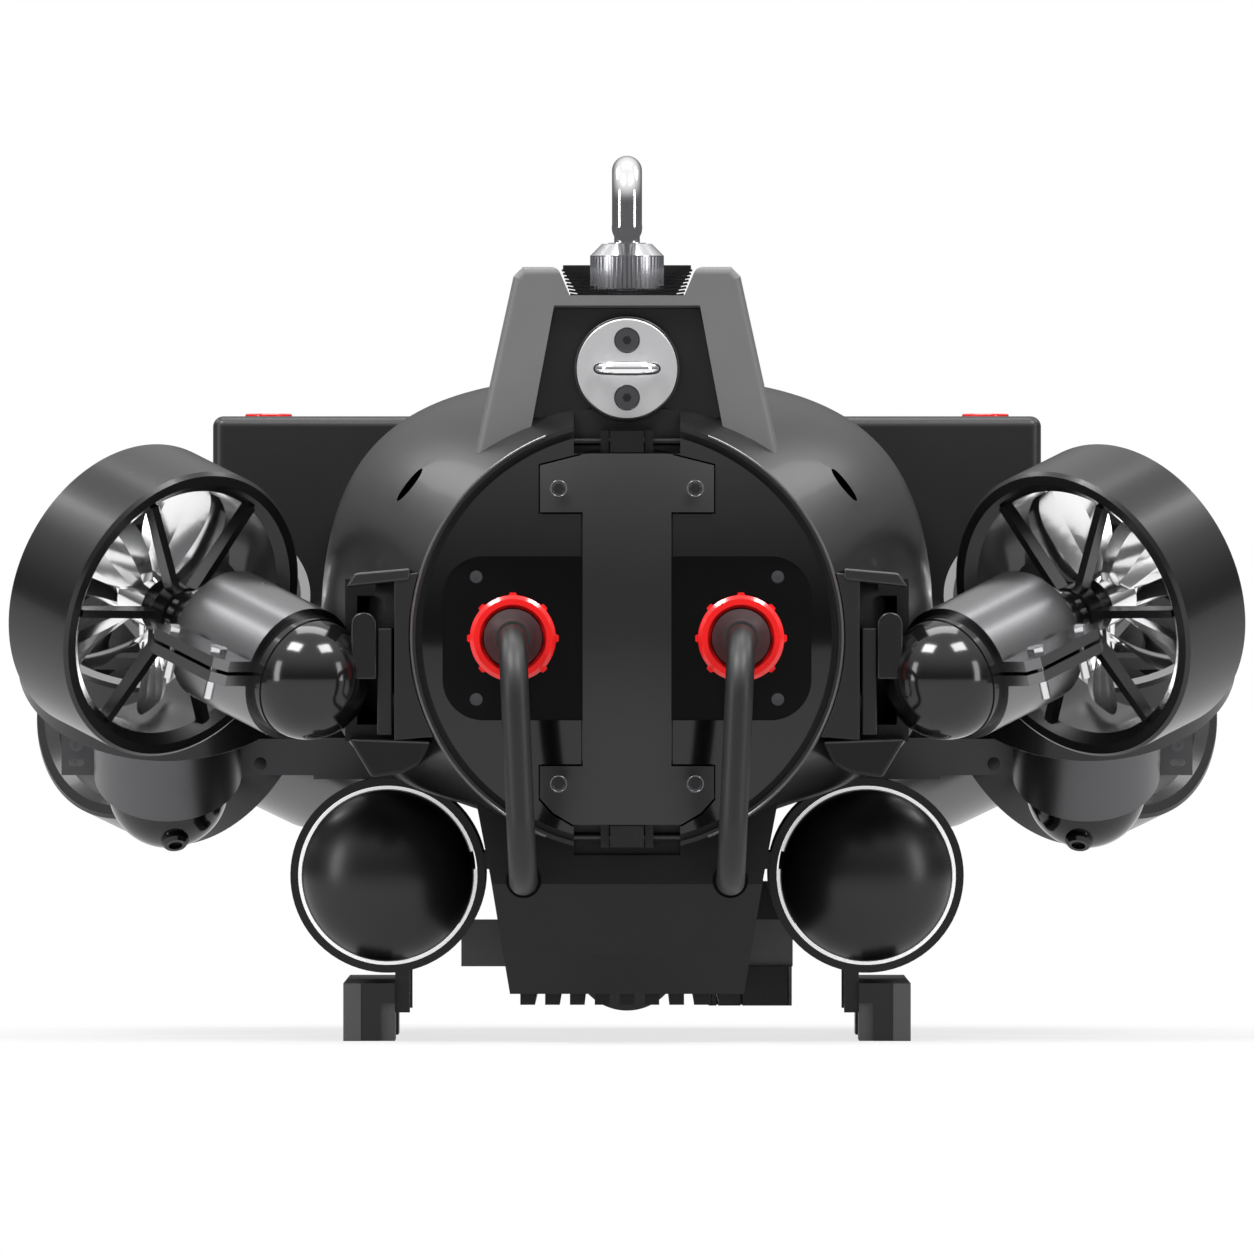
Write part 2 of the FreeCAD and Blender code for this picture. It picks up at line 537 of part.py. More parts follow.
for side, sign in SIDES:
    foot = Part.makeCylinder(value("staple_rod"), 4, V(sign * value("staple_wide / 2 - staple_rod"), 0,
                                                    value("anchor_thick") - 4))
    disc = disc.cut(foot)
disc.Placement = FreeCAD.Placement(V(0, anchor_y, value("anchor_z")), AFT)
node("tether_anchor", shaped("anchor_disc", disc))

staple_half = value("staple_wide / 2 - staple_rod")
bend = 7.0
run = value("staple_out") - value("staple_rod")
corner = bend * (1 - math.sqrt(0.5))
path = Part.Wire([
    Part.LineSegment(V(-staple_half, 0, 1), V(-staple_half, 0, 5 + run - bend)).toShape(),
    Part.Arc(V(-staple_half, 0, 5 + run - bend), V(-staple_half + corner, 0, 5 + run - corner),
             V(-staple_half + bend, 0, 5 + run)).toShape(),
    Part.LineSegment(V(-staple_half + bend, 0, 5 + run), V(staple_half - bend, 0, 5 + run)).toShape(),
    Part.Arc(V(staple_half - bend, 0, 5 + run), V(staple_half - corner, 0, 5 + run - corner),
             V(staple_half, 0, 5 + run - bend)).toShape(),
    Part.LineSegment(V(staple_half, 0, 5 + run - bend), V(staple_half, 0, 1)).toShape()])
ring = Part.Wire([Part.Circle(V(-staple_half, 0, 1), V(0, 0, 1), value("staple_rod")).toShape()])
staple = path.makePipeShell([ring], True, False)
staple.Placement = FreeCAD.Placement(V(0, anchor_y, value("anchor_z")), AFT)
node("anchor_staple", shaped("staple", staple))

# Lifting stud: a flanged post with the shackle's cross eye at its head, and the swivel ring on it.
stud_y = value("tower_stern_y + 46")
stud, stud_planes = turned("lift_stud_body", [
    ("0", "well_floor_z - 9"), ("stud_rad - 2", "well_floor_z - 9"), ("stud_rad - 2", "well_floor_z"),
    ("stud_rad + 5", "well_floor_z"), ("stud_rad + 5", "well_floor_z + 3"), ("stud_rad", "well_floor_z + 3"),
    ("stud_rad", "knurl_z + knurl_tall + 0.5"), ("stud_rad - 2.2", "knurl_z + knurl_tall + 0.5"),
    ("stud_rad - 2.2", "shackle_eye_z + 4"), ("stud_rad - 4", "shackle_eye_z + 5.6"), ("0", "shackle_eye_z + 5.6")])
slot = outline(stud, stud_planes, "XZ_Plane", [
    ("-stud_rad + 2.6", "knurl_z + knurl_tall + 0.4"), ("-stud_rad", "knurl_z + knurl_tall + 0.4"),
    ("-stud_rad", "shackle_eye_z + 8"), ("-stud_rad + 2.6", "shackle_eye_z + 8")], "stud_flat")
pocket(stud, slot, "30", "stud_flat_cut", both=True)
slot = outline(stud, stud_planes, "XZ_Plane", [
    ("stud_rad - 2.6", "knurl_z + knurl_tall + 0.4"), ("stud_rad", "knurl_z + knurl_tall + 0.4"),
    ("stud_rad", "shackle_eye_z + 8"), ("stud_rad - 2.6", "shackle_eye_z + 8")], "stud_flat_b")
pocket(stud, slot, "30", "stud_flat_cut_b", both=True)
eye = discs(stud, stud_planes, "XZ_Plane", [("0", "shackle_eye_z", "shackle_pin_rad + running_gap")], "stud_eye")
pocket(stud, eye, "40", "stud_eye_cut", both=True)
stud.Placement = FreeCAD.Placement(V(0, stud_y, 0), FreeCAD.Rotation())
node("lift_stud", stud)

knurl, knurl_planes = turned("knurled_ring_body", [
    ("stud_rad + running_gap", "knurl_z"), ("knurl_rad - 0.4", "knurl_z"), ("knurl_rad", "knurl_z + 0.4"),
    ("knurl_rad", "knurl_z + knurl_tall - 5"), ("knurl_rad - 5", "knurl_z + knurl_tall"),
    ("stud_rad + running_gap", "knurl_z + knurl_tall")])
groove_sketch = outline(knurl, knurl_planes, "XY_Plane", [
    ("knurl_rad - 0.9", "0"), ("knurl_rad + 0.5", "-0.75"), ("knurl_rad + 0.5", "0.75")], "knurl_groove")
flute = pocket(knurl, groove_sketch, "knurl_z + knurl_tall - 5.5", "knurl_flute", reverse=True)
ring_of(knurl, knurl_planes, flute, "knurl_count", "knurl_flutes")
knurl.Placement = FreeCAD.Placement(V(0, stud_y, 0), FreeCAD.Rotation())
node("knurled_ring", knurl)

# Shackle: a polished bow seen edge-on from astern, with its pin through the stud's eye.
eye_z = value("shackle_eye_z")
half_span = value("shackle_span / 2")
crown_z = value("shackle_top_z - shackle_rod") - half_span
bow_path = Part.Wire([
    Part.LineSegment(V(0, -half_span, eye_z), V(0, -half_span, crown_z)).toShape(),
    Part.Arc(V(0, -half_span, crown_z), V(0, 0, crown_z + half_span), V(0, half_span, crown_z)).toShape(),
    Part.LineSegment(V(0, half_span, crown_z), V(0, half_span, eye_z)).toShape()])
bow_ring = Part.Wire([Part.Circle(V(0, -half_span, eye_z), V(0, 0, 1), value("shackle_rod")).toShape()])
bow = bow_path.makePipeShell([bow_ring], True, False)
for sign in (-1, 1):
    ear = Part.makeCylinder(value("shackle_rod + 0.1"), 9.0, V(0, sign * half_span - 4.5, eye_z), V(0, 1, 0))
    bow = bow.fuse(ear)
pin = Part.makeCylinder(value("shackle_pin_rad"), 2 * half_span + 14, V(0, -half_span - 7, eye_z), V(0, 1, 0))
pin = pin.fuse(Part.makeCylinder(2.9, 1.6, V(0, -half_span - 8.0, eye_z), V(0, 1, 0)))
bow = bow.fuse(pin)
bow.translate(V(0, stud_y, 0))
node("shackle", shaped("shackle_bow", bow))

# ---------------------------------------------------------------- latches

# Each latch is a lever on a pin in its bay: it holds the stern cap's edge.
latch_pins = []
for name, sign in (("top", 1), ("bottom", -1)):
    mid_z = value("hull_z + strap_top + 5") if sign > 0 else value("hull_z - strap_foot - 4.9")
    base_y = value("hull_stern_y") + 8.4
    lever = Part.makeBox(value("latch_wide"), 14.0, value("latch_thick"), V(-value("latch_wide / 2"), base_y - 13.5,
                                                                        mid_z - value("latch_thick / 2")))
    lever = lever.fuse(Part.makeBox(value("latch_wide"), 4.0, 9.0, V(-value("latch_wide / 2"), base_y - 13.5, mid_z - 4.5)))
    lever = lever.fuse(Part.makeCylinder(3.2, value("latch_wide"), V(-value("latch_wide / 2"), base_y, mid_z), V(1, 0, 0)))
    lever = lever.cut(Part.makeCylinder(value("latch_pin_rad + running_gap"), 40, V(-20, base_y, mid_z), V(1, 0, 0)))
    node("latch_lever_" + name, shaped("latch_" + name, lever.removeSplitter()))
    latch_pins.append(Part.makeCylinder(value("latch_pin_rad"), value("bay_wide"), V(-value("bay_wide / 2"), base_y, mid_z),
                                        V(1, 0, 0)))
    for side, hand in SIDES:
        cheek = Part.makeBox(3.4, 12, 9.4, V(hand * (value("latch_wide / 2") + 2.3) - 1.7, base_y - 5.0, mid_z - 4.7))
        latch_pins.append(cheek)
pins = latch_pins[0].fuse(latch_pins[1:])
node("latch_pins", shaped("latch_pin_set", pins))

# ---------------------------------------------------------------- connectors and leads

plug_solids = []
for side, sign in SIDES:
    half = [(0, -4), (value("plug_rad - 4"), -4), (value("plug_rad - 4"), 0), (value("plug_rad"), 0),
            (value("plug_rad"), 0.0), (value("plug_rad"), value("collar_deep + 1")),
            (value("lead_rad + 2.4"), value("collar_deep + 10")), (value("lead_rad + 1.2"), value("lead_out - 2")),
            (value("lead_rad"), value("lead_out - 2")), (value("lead_rad"), value("lead_out - 5")), (0, value("lead_out - 5"))]
    clean = [p for i, p in enumerate(half) if i == 0 or p != half[i - 1]]
    spots = [V(a, 0, b) for a, b in clean]
    body = Part.Face(Part.makePolygon(spots + [spots[0]])).revolve(V(0, 0, 0), V(0, 0, 1), 360)
    rim = Part.makeCylinder(value("collar_bore + 2.0"), 1.2).cut(Part.makeCylinder(value("plug_rad - 1"), 1.2))
    body = body.fuse(rim)
    body.Placement = FreeCAD.Placement(V(sign * value("plug_x"), floor_y, value("plug_z")), AFT)
    plug_solids.append(body)
node("connector_plugs", shaped("plug_pair", Part.makeCompound(plug_solids)))

for side, sign in SIDES:
    collar, collar_planes = turned("collar_%s_body" % side, [
        ("collar_bore", "1.5"), ("collar_rad - 0.8", "1.5"), ("collar_rad", "2.3"),
        ("collar_rad", "collar_deep - 1.2"), ("collar_rad - 1.6", "collar_deep"),
        ("collar_bore + 1.4", "collar_deep"), ("collar_bore", "collar_deep - 2.2")])
    lug = outline(collar, collar_planes, "XY_Plane", [
        ("collar_rad - 0.6", "-2"), ("collar_rad + collar_lug - 0.5", "-1.2"),
        ("collar_rad + collar_lug - 0.5", "1.2"), ("collar_rad - 0.6", "2")], "lug_%s" % side)
    lug.AttachmentOffset = FreeCAD.Placement(V(0, 0, 2.3), FreeCAD.Rotation())
    grip = pad(collar, lug, "collar_deep - 4", "grip_%s" % side)
    ring_of(collar, collar_planes, grip, "8", "grips_%s" % side)
    collar.Placement = FreeCAD.Placement(V(sign * value("plug_x"), floor_y, value("plug_z")), AFT)
    node("lock_collar_" + side, collar)


def lead_path(sign):
    """The lead's centre line: out of its plug, down, and forward into the keel's gland."""
    x0 = sign * value("plug_x")
    x1 = sign * value("lead_foot_x")
    y0 = floor_y - value("lead_out - 5")
    rad = value("lead_bend")
    top = value("plug_z")
    foot = value("lead_foot_z")
    down = V((x1 - x0), 0, foot - top)
    length = down.Length
    down.normalize()
    a = V(x0, y0, top)
    b = a + V(0, -4, 0)
    corner = b + V(0, -rad, 0)
    c = corner + down * rad
    end = corner + down * length
    d = end - down * rad
    e = end + V(0, rad, 0)
    f = V(e.x, value("keel_stern_y + 9"), e.z)
    mid_one = corner + V(0, rad, 0) * (1 - math.sqrt(0.5)) + down * rad * (1 - math.sqrt(0.5))
    mid_two = end + V(0, rad, 0) * (1 - math.sqrt(0.5)) - down * rad * (1 - math.sqrt(0.5))
    return Part.Wire([Part.LineSegment(a, b).toShape(), Part.Arc(b, mid_one, c).toShape(),
                      Part.LineSegment(c, d).toShape(), Part.Arc(d, mid_two, e).toShape(),
                      Part.LineSegment(e, f).toShape()])


leads = []
for side, sign in SIDES:
    route = lead_path(sign)
    start = route.OrderedVertexes[0].Point
    ring = Part.Wire([Part.Circle(start, V(0, 1, 0), value("lead_rad - 0.05")).toShape()])
    tube = route.makePipeShell([ring], True, False)
    print("lead %s: length %.1f, bends of radius %.1f, volume over section times length %.4f" % (
        side, route.Length, value("lead_bend"), tube.Volume / (math.pi * value("lead_rad - 0.05") ** 2 * route.Length)))
    leads.append(tube)
node("leads", shaped("lead_pair", Part.makeCompound(leads)))

# ---------------------------------------------------------------- keel

keel_front, keel_planes = prism("keel_front", "XZ_Plane", [
    ("-keel_low_half", "keel_low_z"), ("keel_low_half", "keel_low_z"), ("keel_mid_half", "keel_mid_z"),
    ("keel_top_half", "keel_top_z"), ("-keel_top_half", "keel_top_z"), ("-keel_mid_half", "keel_mid_z")],
    "keel_long", reverse=True)
keel_front.Placement = at("0", "keel_stern_y", "0")
keel_side, side_planes = prism("keel_side", "YZ_Plane", [
    ("keel_stern_y + keel_slope", "keel_low_z"), ("keel_stern_y + keel_slope / 3", "keel_crease_z"),
    ("keel_stern_y", "keel_mid_z - 3.6"), ("keel_stern_y + 3", "keel_top_z"),
    ("keel_stern_y + keel_long - 3", "keel_top_z"), ("keel_stern_y + keel_long", "keel_mid_z"),
    ("keel_stern_y + keel_long", "keel_crease_z"), ("keel_stern_y + keel_long - keel_slope", "keel_low_z")],
    "3 * keel_top_half", both=True)
keel_form = common("keel_form", [keel_front, keel_side])
glands = [rod("gland_" + side, "gland_rad", "12", FreeCAD.Placement(
    V(sign * value("lead_foot_x"), value("keel_stern_y + 9"), value("lead_foot_z")), AFT)) for side, sign in SIDES]
keel_main = cut("keel_main", keel_form, fuse("keel_cuts", [hull_form, bay_low] + glands))
ribs = []
rib_total = 9
for i in range(rib_total):
    rib = doc.addObject("Part::Box", "keel_rib_%d" % i)
    bind(rib, "Length", "rib_wide")
    bind(rib, "Width", "keel_long - 2 * keel_slope - 6")
    bind(rib, "Height", "rib_deep + 0.2")
    bind(rib, "Placement.Base.x", "%.1f * rib_pitch - rib_wide / 2" % (i - (rib_total - 1) / 2))
    bind(rib, "Placement.Base.y", "keel_stern_y + keel_slope + 3")
    bind(rib, "Placement.Base.z", "keel_low_z - rib_deep")
    ribs.append(rib)
node("keel", fuse("keel_whole", [keel_main] + ribs))

# ---------------------------------------------------------------- lamps, rings and skids

# The lamp's dome is an elliptical quarter, drawn through these angles in degrees.
LAMP_TURNS = (0, 12, 24, 36, 48, 60, 70, 80, 90)

lenses = []
for side, sign in SIDES:
    lamp, lamp_planes = turned("lamp_%s_body" % side, [
        *[("lamp_rad * sin(%g)" % turn, "lamp_dome - (lamp_dome - 2) * cos(%g)" % turn) for turn in LAMP_TURNS],
        ("lamp_rad", "lamp_long - 16"),
        ("lamp_rad - 2", "lamp_long - 14"), ("lamp_rad - 2", "lamp_long"), ("lamp_rad - 6", "lamp_long"),
        ("lamp_rad - 9", "lamp_long - 10"), ("0", "lamp_long - 10")])
    lamp.Placement = FreeCAD.Placement(V(sign * value("lamp_x"), value("lamp_stern_y"), value("lamp_z")),
                                       FreeCAD.Rotation(V(1, 0, 0), -90))
    node("lamp_" + side, lamp)
    lens = Part.makeCylinder(value("lamp_rad - 2"), 3.0, V(0, 0, value("lamp_long")))
    lens = lens.makeFillet(1.2, [e for e in lens.Edges if abs(e.BoundBox.ZMin - value("lamp_long + 3")) < 0.01])
    lens.Placement = lamp.Placement
    lenses.append(lens)
node("lamp_lenses", shaped("lens_pair", Part.makeCompound(lenses)))

ring_set = []
for side, sign in SIDES:
    for name, y in (("aft", "ring_aft_y"), ("fore", "ring_fore_y")):
        x = "%d * lamp_x" % sign
        hoop = rod("hoop_%s_%s" % (side, name), "ring_rad", "ring_long", FreeCAD.Placement(
            V(value(x), value(y + " + ring_long"), value("lamp_z")), AFT))
        inside = rod("hoop_in_%s_%s" % (side, name), "ring_bore", "ring_long + 2", FreeCAD.Placement(
            V(value(x), value(y + " + ring_long + 1"), value("lamp_z")), AFT))
        pads = []
        for i, turn in enumerate((90, 210, 330)):
            spoke = doc.addObject("Part::Box", "pad_%s_%s_%d" % (side, name, i))
            bind(spoke, "Length", "ring_bore - lamp_rad + 1.6")
            bind(spoke, "Width", "ring_long - 2")
            spoke.Height = 5
            place = FreeCAD.Placement(V(value(x), value(y) + 1, value("lamp_z")), FreeCAD.Rotation(V(0, 1, 0), -turn))
            spoke.Placement = place * FreeCAD.Placement(V(value("lamp_rad - 0.6"), 0, -2.5), FreeCAD.Rotation())
            pads.append(spoke)
        low, high = sorted((sign * value("lamp_x - ring_rad + 1.5"), sign * value("keel_low_half + 2")))
        stub = block("stub_%s_%s" % (side, name), (str(low), y + " + 1", "lamp_z + 2.6"),
                     (str(high), y + " + ring_long - 1", "lamp_z + 9.6"))
        low, high = sorted((sign * value("skid_in_x - 6.4"), sign * value("skid_in_x - 12.6")))
        tab = block("tab_%s_%s" % (side, name), (str(low), y + " + 1", "11.8"),
                    (str(high), y + " + ring_long - 1", "lamp_z - ring_rad + 2.4"))
        hook = rod("hook_%s_%s" % (side, name), "8.5", "ring_long - 3", FreeCAD.Placement(
            V(value(x), value(y + " + ring_long - 1.5"), value("lamp_z + ring_rad + 2")), AFT))
        solid = fuse("ring_solid_%s_%s" % (side, name), [cut("hoop_cut_%s_%s" % (side, name), fuse(
            "hoop_all_%s_%s" % (side, name), [hoop, stub, tab, hook]), inside)] + pads)
        tube = rod("lamp_clear_%s_%s" % (side, name), "lamp_rad", "60", FreeCAD.Placement(
            V(value(x), value(y + " + 40"), value("lamp_z")), AFT))
        ring_set.append(cut("ring_%s_%s" % (side, name), solid, fuse(
            "ring_tools_%s_%s" % (side, name), [hull_form, keel_main, tube])))
doc.recompute()
node("lamp_rings", shaped("ring_set", Part.makeCompound([r.Shape for r in ring_set])))

skid_solids = []
weight_solids = []
for side, sign in SIDES:
    corners = [("%d * skid_out_x" % sign, "0"), ("%d * skid_in_x" % sign, "0"), ("%d * skid_in_x" % sign, "weight_tall"),
               ("%d * (skid_in_x - 6.4)" % sign, "weight_tall"), ("%d * (skid_in_x - 6.4)" % sign, "skid_top_z"),
               ("%d * skid_out_x" % sign, "skid_top_z")]
    if sign > 0:
        corners.reverse()
    runner, runner_planes = prism("skid_%s_body" % side, "XZ_Plane", corners, "skid_long", reverse=True)
    nose = outline(runner, runner_planes, "YZ_Plane", [
        ("skid_long - 26", "-1"), ("skid_long + 1", "-1"), ("skid_long + 1", "15")], "skid_nose_%s" % side)
    pocket(runner, nose, "400", "skid_nose_cut_%s" % side, both=True)
    runner.Placement = at("0", "skid_stern_y", "0")
    skid_solids.append(runner)
    for y in ("skid_stern_y + 2", "skid_stern_y + skid_long * 0.62"):
        low, high = sorted((sign * value("skid_in_x"), sign * value("skid_in_x - weight_wide + 0.4")))
        weight_solids.append(block("weight_%s_%d" % (side, len(weight_solids)), (str(low), y, "0"),
                                   (str(high), y + " + 60", "weight_tall")))
doc.recompute()
node("skids", shaped("skid_pair", Part.makeCompound([r.Shape for r in skid_solids])))
node("ballast_weights", shaped("weight_set", Part.makeCompound([r.Shape for r in weight_solids])))

# ---------------------------------------------------------------- battery pods

for side, sign in SIDES:
    low, high = sorted((sign * value("pod_out_x"), sign * value("pod_in_x - 16")))
    case = block("pod_case_" + side, (str(low), "pod_stern_y", "pod_low_z"),
                 (str(high), "pod_stern_y + pod_long", "pod_top_z"))
    doc.recompute()
    soft = doc.addObject("Part::Fillet", "pod_soft_" + side)
    soft.Base = case
    edges = []
    for i, e in enumerate(case.Shape.Edges):
        outer = abs(e.BoundBox.Center.x) > value("pod_out_x - 1")
        upper = e.BoundBox.Center.z > value("pod_top_z - 1") or e.BoundBox.Center.z < value("pod_low_z + 1")
        if outer or upper:
            edges.append((i + 1, value("pod_round"), value("pod_round")))
    soft.Edges = edges
    port = rod("vent_bore_" + side, "vent_rad - 2", "12", at("%d * vent_x" % sign, "pod_stern_y + pod_long / 2",
                                                        "pod_top_z - 11"))
    rest = rod("vent_seat_" + side, "vent_rad + part_gap", "3", at("%d * vent_x" % sign, "pod_stern_y + pod_long / 2",
                                                            "pod_top_z - 1.2"))
    node("battery_pod_" + side, cut("pod_cut_" + side, soft, fuse("pod_tools_" + side, [hull_form, port, rest])))
    plug, plug_planes = turned("vent_%s_body" % side, [
        ("0", "-9"), ("vent_rad - 2.3", "-9"), ("vent_rad - 2.3", "-1.2 + part_gap"), ("vent_rad", "-1.2 + part_gap"),
        ("vent_rad", "vent_proud - 0.5"), ("vent_rad - 0.5", "vent_proud"), ("0", "vent_proud")])
    coin = outline(plug, plug_planes, "XY_Plane", [("-6.5", "-0.9"), ("6.5", "-0.9"), ("6.5", "0.9"), ("-6.5", "0.9")],
                   "coin_slot_%s" % side)
    coin.AttachmentOffset = FreeCAD.Placement(V(0, 0, 0.1), FreeCAD.Rotation())
    pocket(plug, coin, "3", "coin_cut_%s" % side, reverse=True)
    plug.Placement = at("%d * vent_x" % sign, "pod_stern_y + pod_long / 2", "pod_top_z")
    node("vent_plug_" + side, plug)

# ---------------------------------------------------------------- bow

glass_y = value("hull_bow_y")
bezel, bezel_planes = turned("bezel_body", [
    ("hull_bore_rad - 6", "0"), ("hull_bow_rad", "0"), ("hull_bow_rad", "bezel_deep - 6"),
    ("hull_bow_rad - 5", "bezel_deep"), ("dome_rad", "bezel_deep"), ("dome_rad", "4"), ("hull_bore_rad - 6", "4")])
bezel.Placement = FreeCAD.Placement(V(0, glass_y, value("hull_z")), FreeCAD.Rotation(V(1, 0, 0), -90))
node("dome_bezel", bezel)
reach = 30.0
outer_rad = (value("dome_rad") ** 2 + reach ** 2) / (2 * reach)
glass = Part.makeSphere(outer_rad, V(0, 0, reach + value("bezel_deep - 5") - outer_rad))
glass = glass.common(Part.makeCylinder(value("dome_rad"), 100, V(0, 0, value("bezel_deep - 5"))))
glass = glass.fuse(Part.makeCylinder(value("dome_rad"), value("bezel_deep - 9"), V(0, 0, 4)))
inner = Part.makeSphere(outer_rad - value("dome_thick"), V(0, 0, reach + value("bezel_deep - 5") - outer_rad))
inner = inner.common(Part.makeCylinder(value("dome_rad - dome_thick"), 100, V(0, 0, 0)))
inner = inner.fuse(Part.makeCylinder(value("dome_rad - 8"), value("bezel_deep"), V(0, 0, 0)))
glass = glass.cut(inner)
glass.Placement = FreeCAD.Placement(V(0, glass_y, value("hull_z")), FreeCAD.Rotation(V(1, 0, 0), -90))
node("front_dome", shaped("glass_dome", glass))

# ---------------------------------------------------------------- thrusters

# Six ducted thrusters: four vectored ones on the corners, two that lift amidships.
# Each is built with its motor's dome along +Z and placed with one frame; port and starboard mirror.
UNITS = []
for name, spot, along, inward in (
        ("rear", ("rear_rim_x", "rear_rim_y", "rear_rim_z"), (0.633, -0.707, -0.315), (0.745, 0.667, 0)),
        ("lift", ("lift_rim_x", "lift_rim_y", "lift_rim_z"), (0.0, 0.643, -0.766), (1, 0, 0)),
        ("fore", ("fore_rim_x", "fore_rim_y", "fore_rim_z"), (0.633, 0.707, -0.315), (0.745, -0.667, 0))):
    for side, sign in SIDES:
        origin = (sign * value(spot[0]), value(spot[1]), value(spot[2]))
        place = frame(origin, (-sign * along[0], along[1], along[2]), (-sign * inward[0], inward[1], inward[2]))
        UNITS.append((name, side, sign, place))


def lens_section(rad, wide, turn, thick, spine):
    """A blade section at a radius: a thin lens set at its pitch angle."""
    spots = []
    for u, w in ((-1, 0), (-0.5, 0.85), (0.1, 1.0), (0.65, 0.6), (1, 0), (0.65, -0.15), (0.1, -0.1), (-0.5, -0.05)):
        a = u * wide / 2
        b = w * thick
        along = a * math.cos(turn) - b * math.sin(turn)
        across = a * math.sin(turn) + b * math.cos(turn)
        spots.append(V(rad, along, spine + across))
    return Part.makePolygon(spots + [spots[0]])


def propeller(hand):
    """A five bladed screw on its hub, with the shaft that runs through the strut ring."""
    deep = value("prop_deep")
    mid = value("prop_z") - deep / 2
    hub = Part.makeCylinder(value("prop_hub"), deep - 4, V(0, 0, mid - deep / 2 + 4))
    cone = Part.makeCone(value("prop_hub") - 5.5, value("prop_hub"), 6, V(0, 0, mid - deep / 2 - 2))
    hexagon = [V(4.6 * math.cos(math.pi / 3 * i), 4.6 * math.sin(math.pi / 3 * i), mid - deep / 2 - 6) for i in range(7)]
    nut = Part.Face(Part.makePolygon(hexagon)).extrude(V(0, 0, 6))
    shaft = Part.makeCylinder(value("prop_shaft"), 24, V(0, 0, value("prop_z") - 4))
    screw = hub.fuse([cone, nut, shaft])
    tip = value("prop_rad")
    sections = []
    for part, wide, angle in ((0.0, 17, 52), (0.3, 27, 44), (0.6, 33, 35), (0.85, 31, 28), (1.0, 19, 24)):
        rad = value("prop_hub") - 1.5 + (tip - value("prop_hub") + 1.5) * part
        thick = value("prop_thick") * (1.6 - part)
        sections.append(lens_section(rad, wide, hand * math.radians(angle), thick, mid))
    blade = Part.makeLoft(sections, True, False)
    blades = []
    for i in range(5):
        copy = blade.copy()
        copy.rotate(V(0, 0, 0), V(0, 0, 1), 72 * i)
        blades.append(copy)
    return screw.fuse(blades)


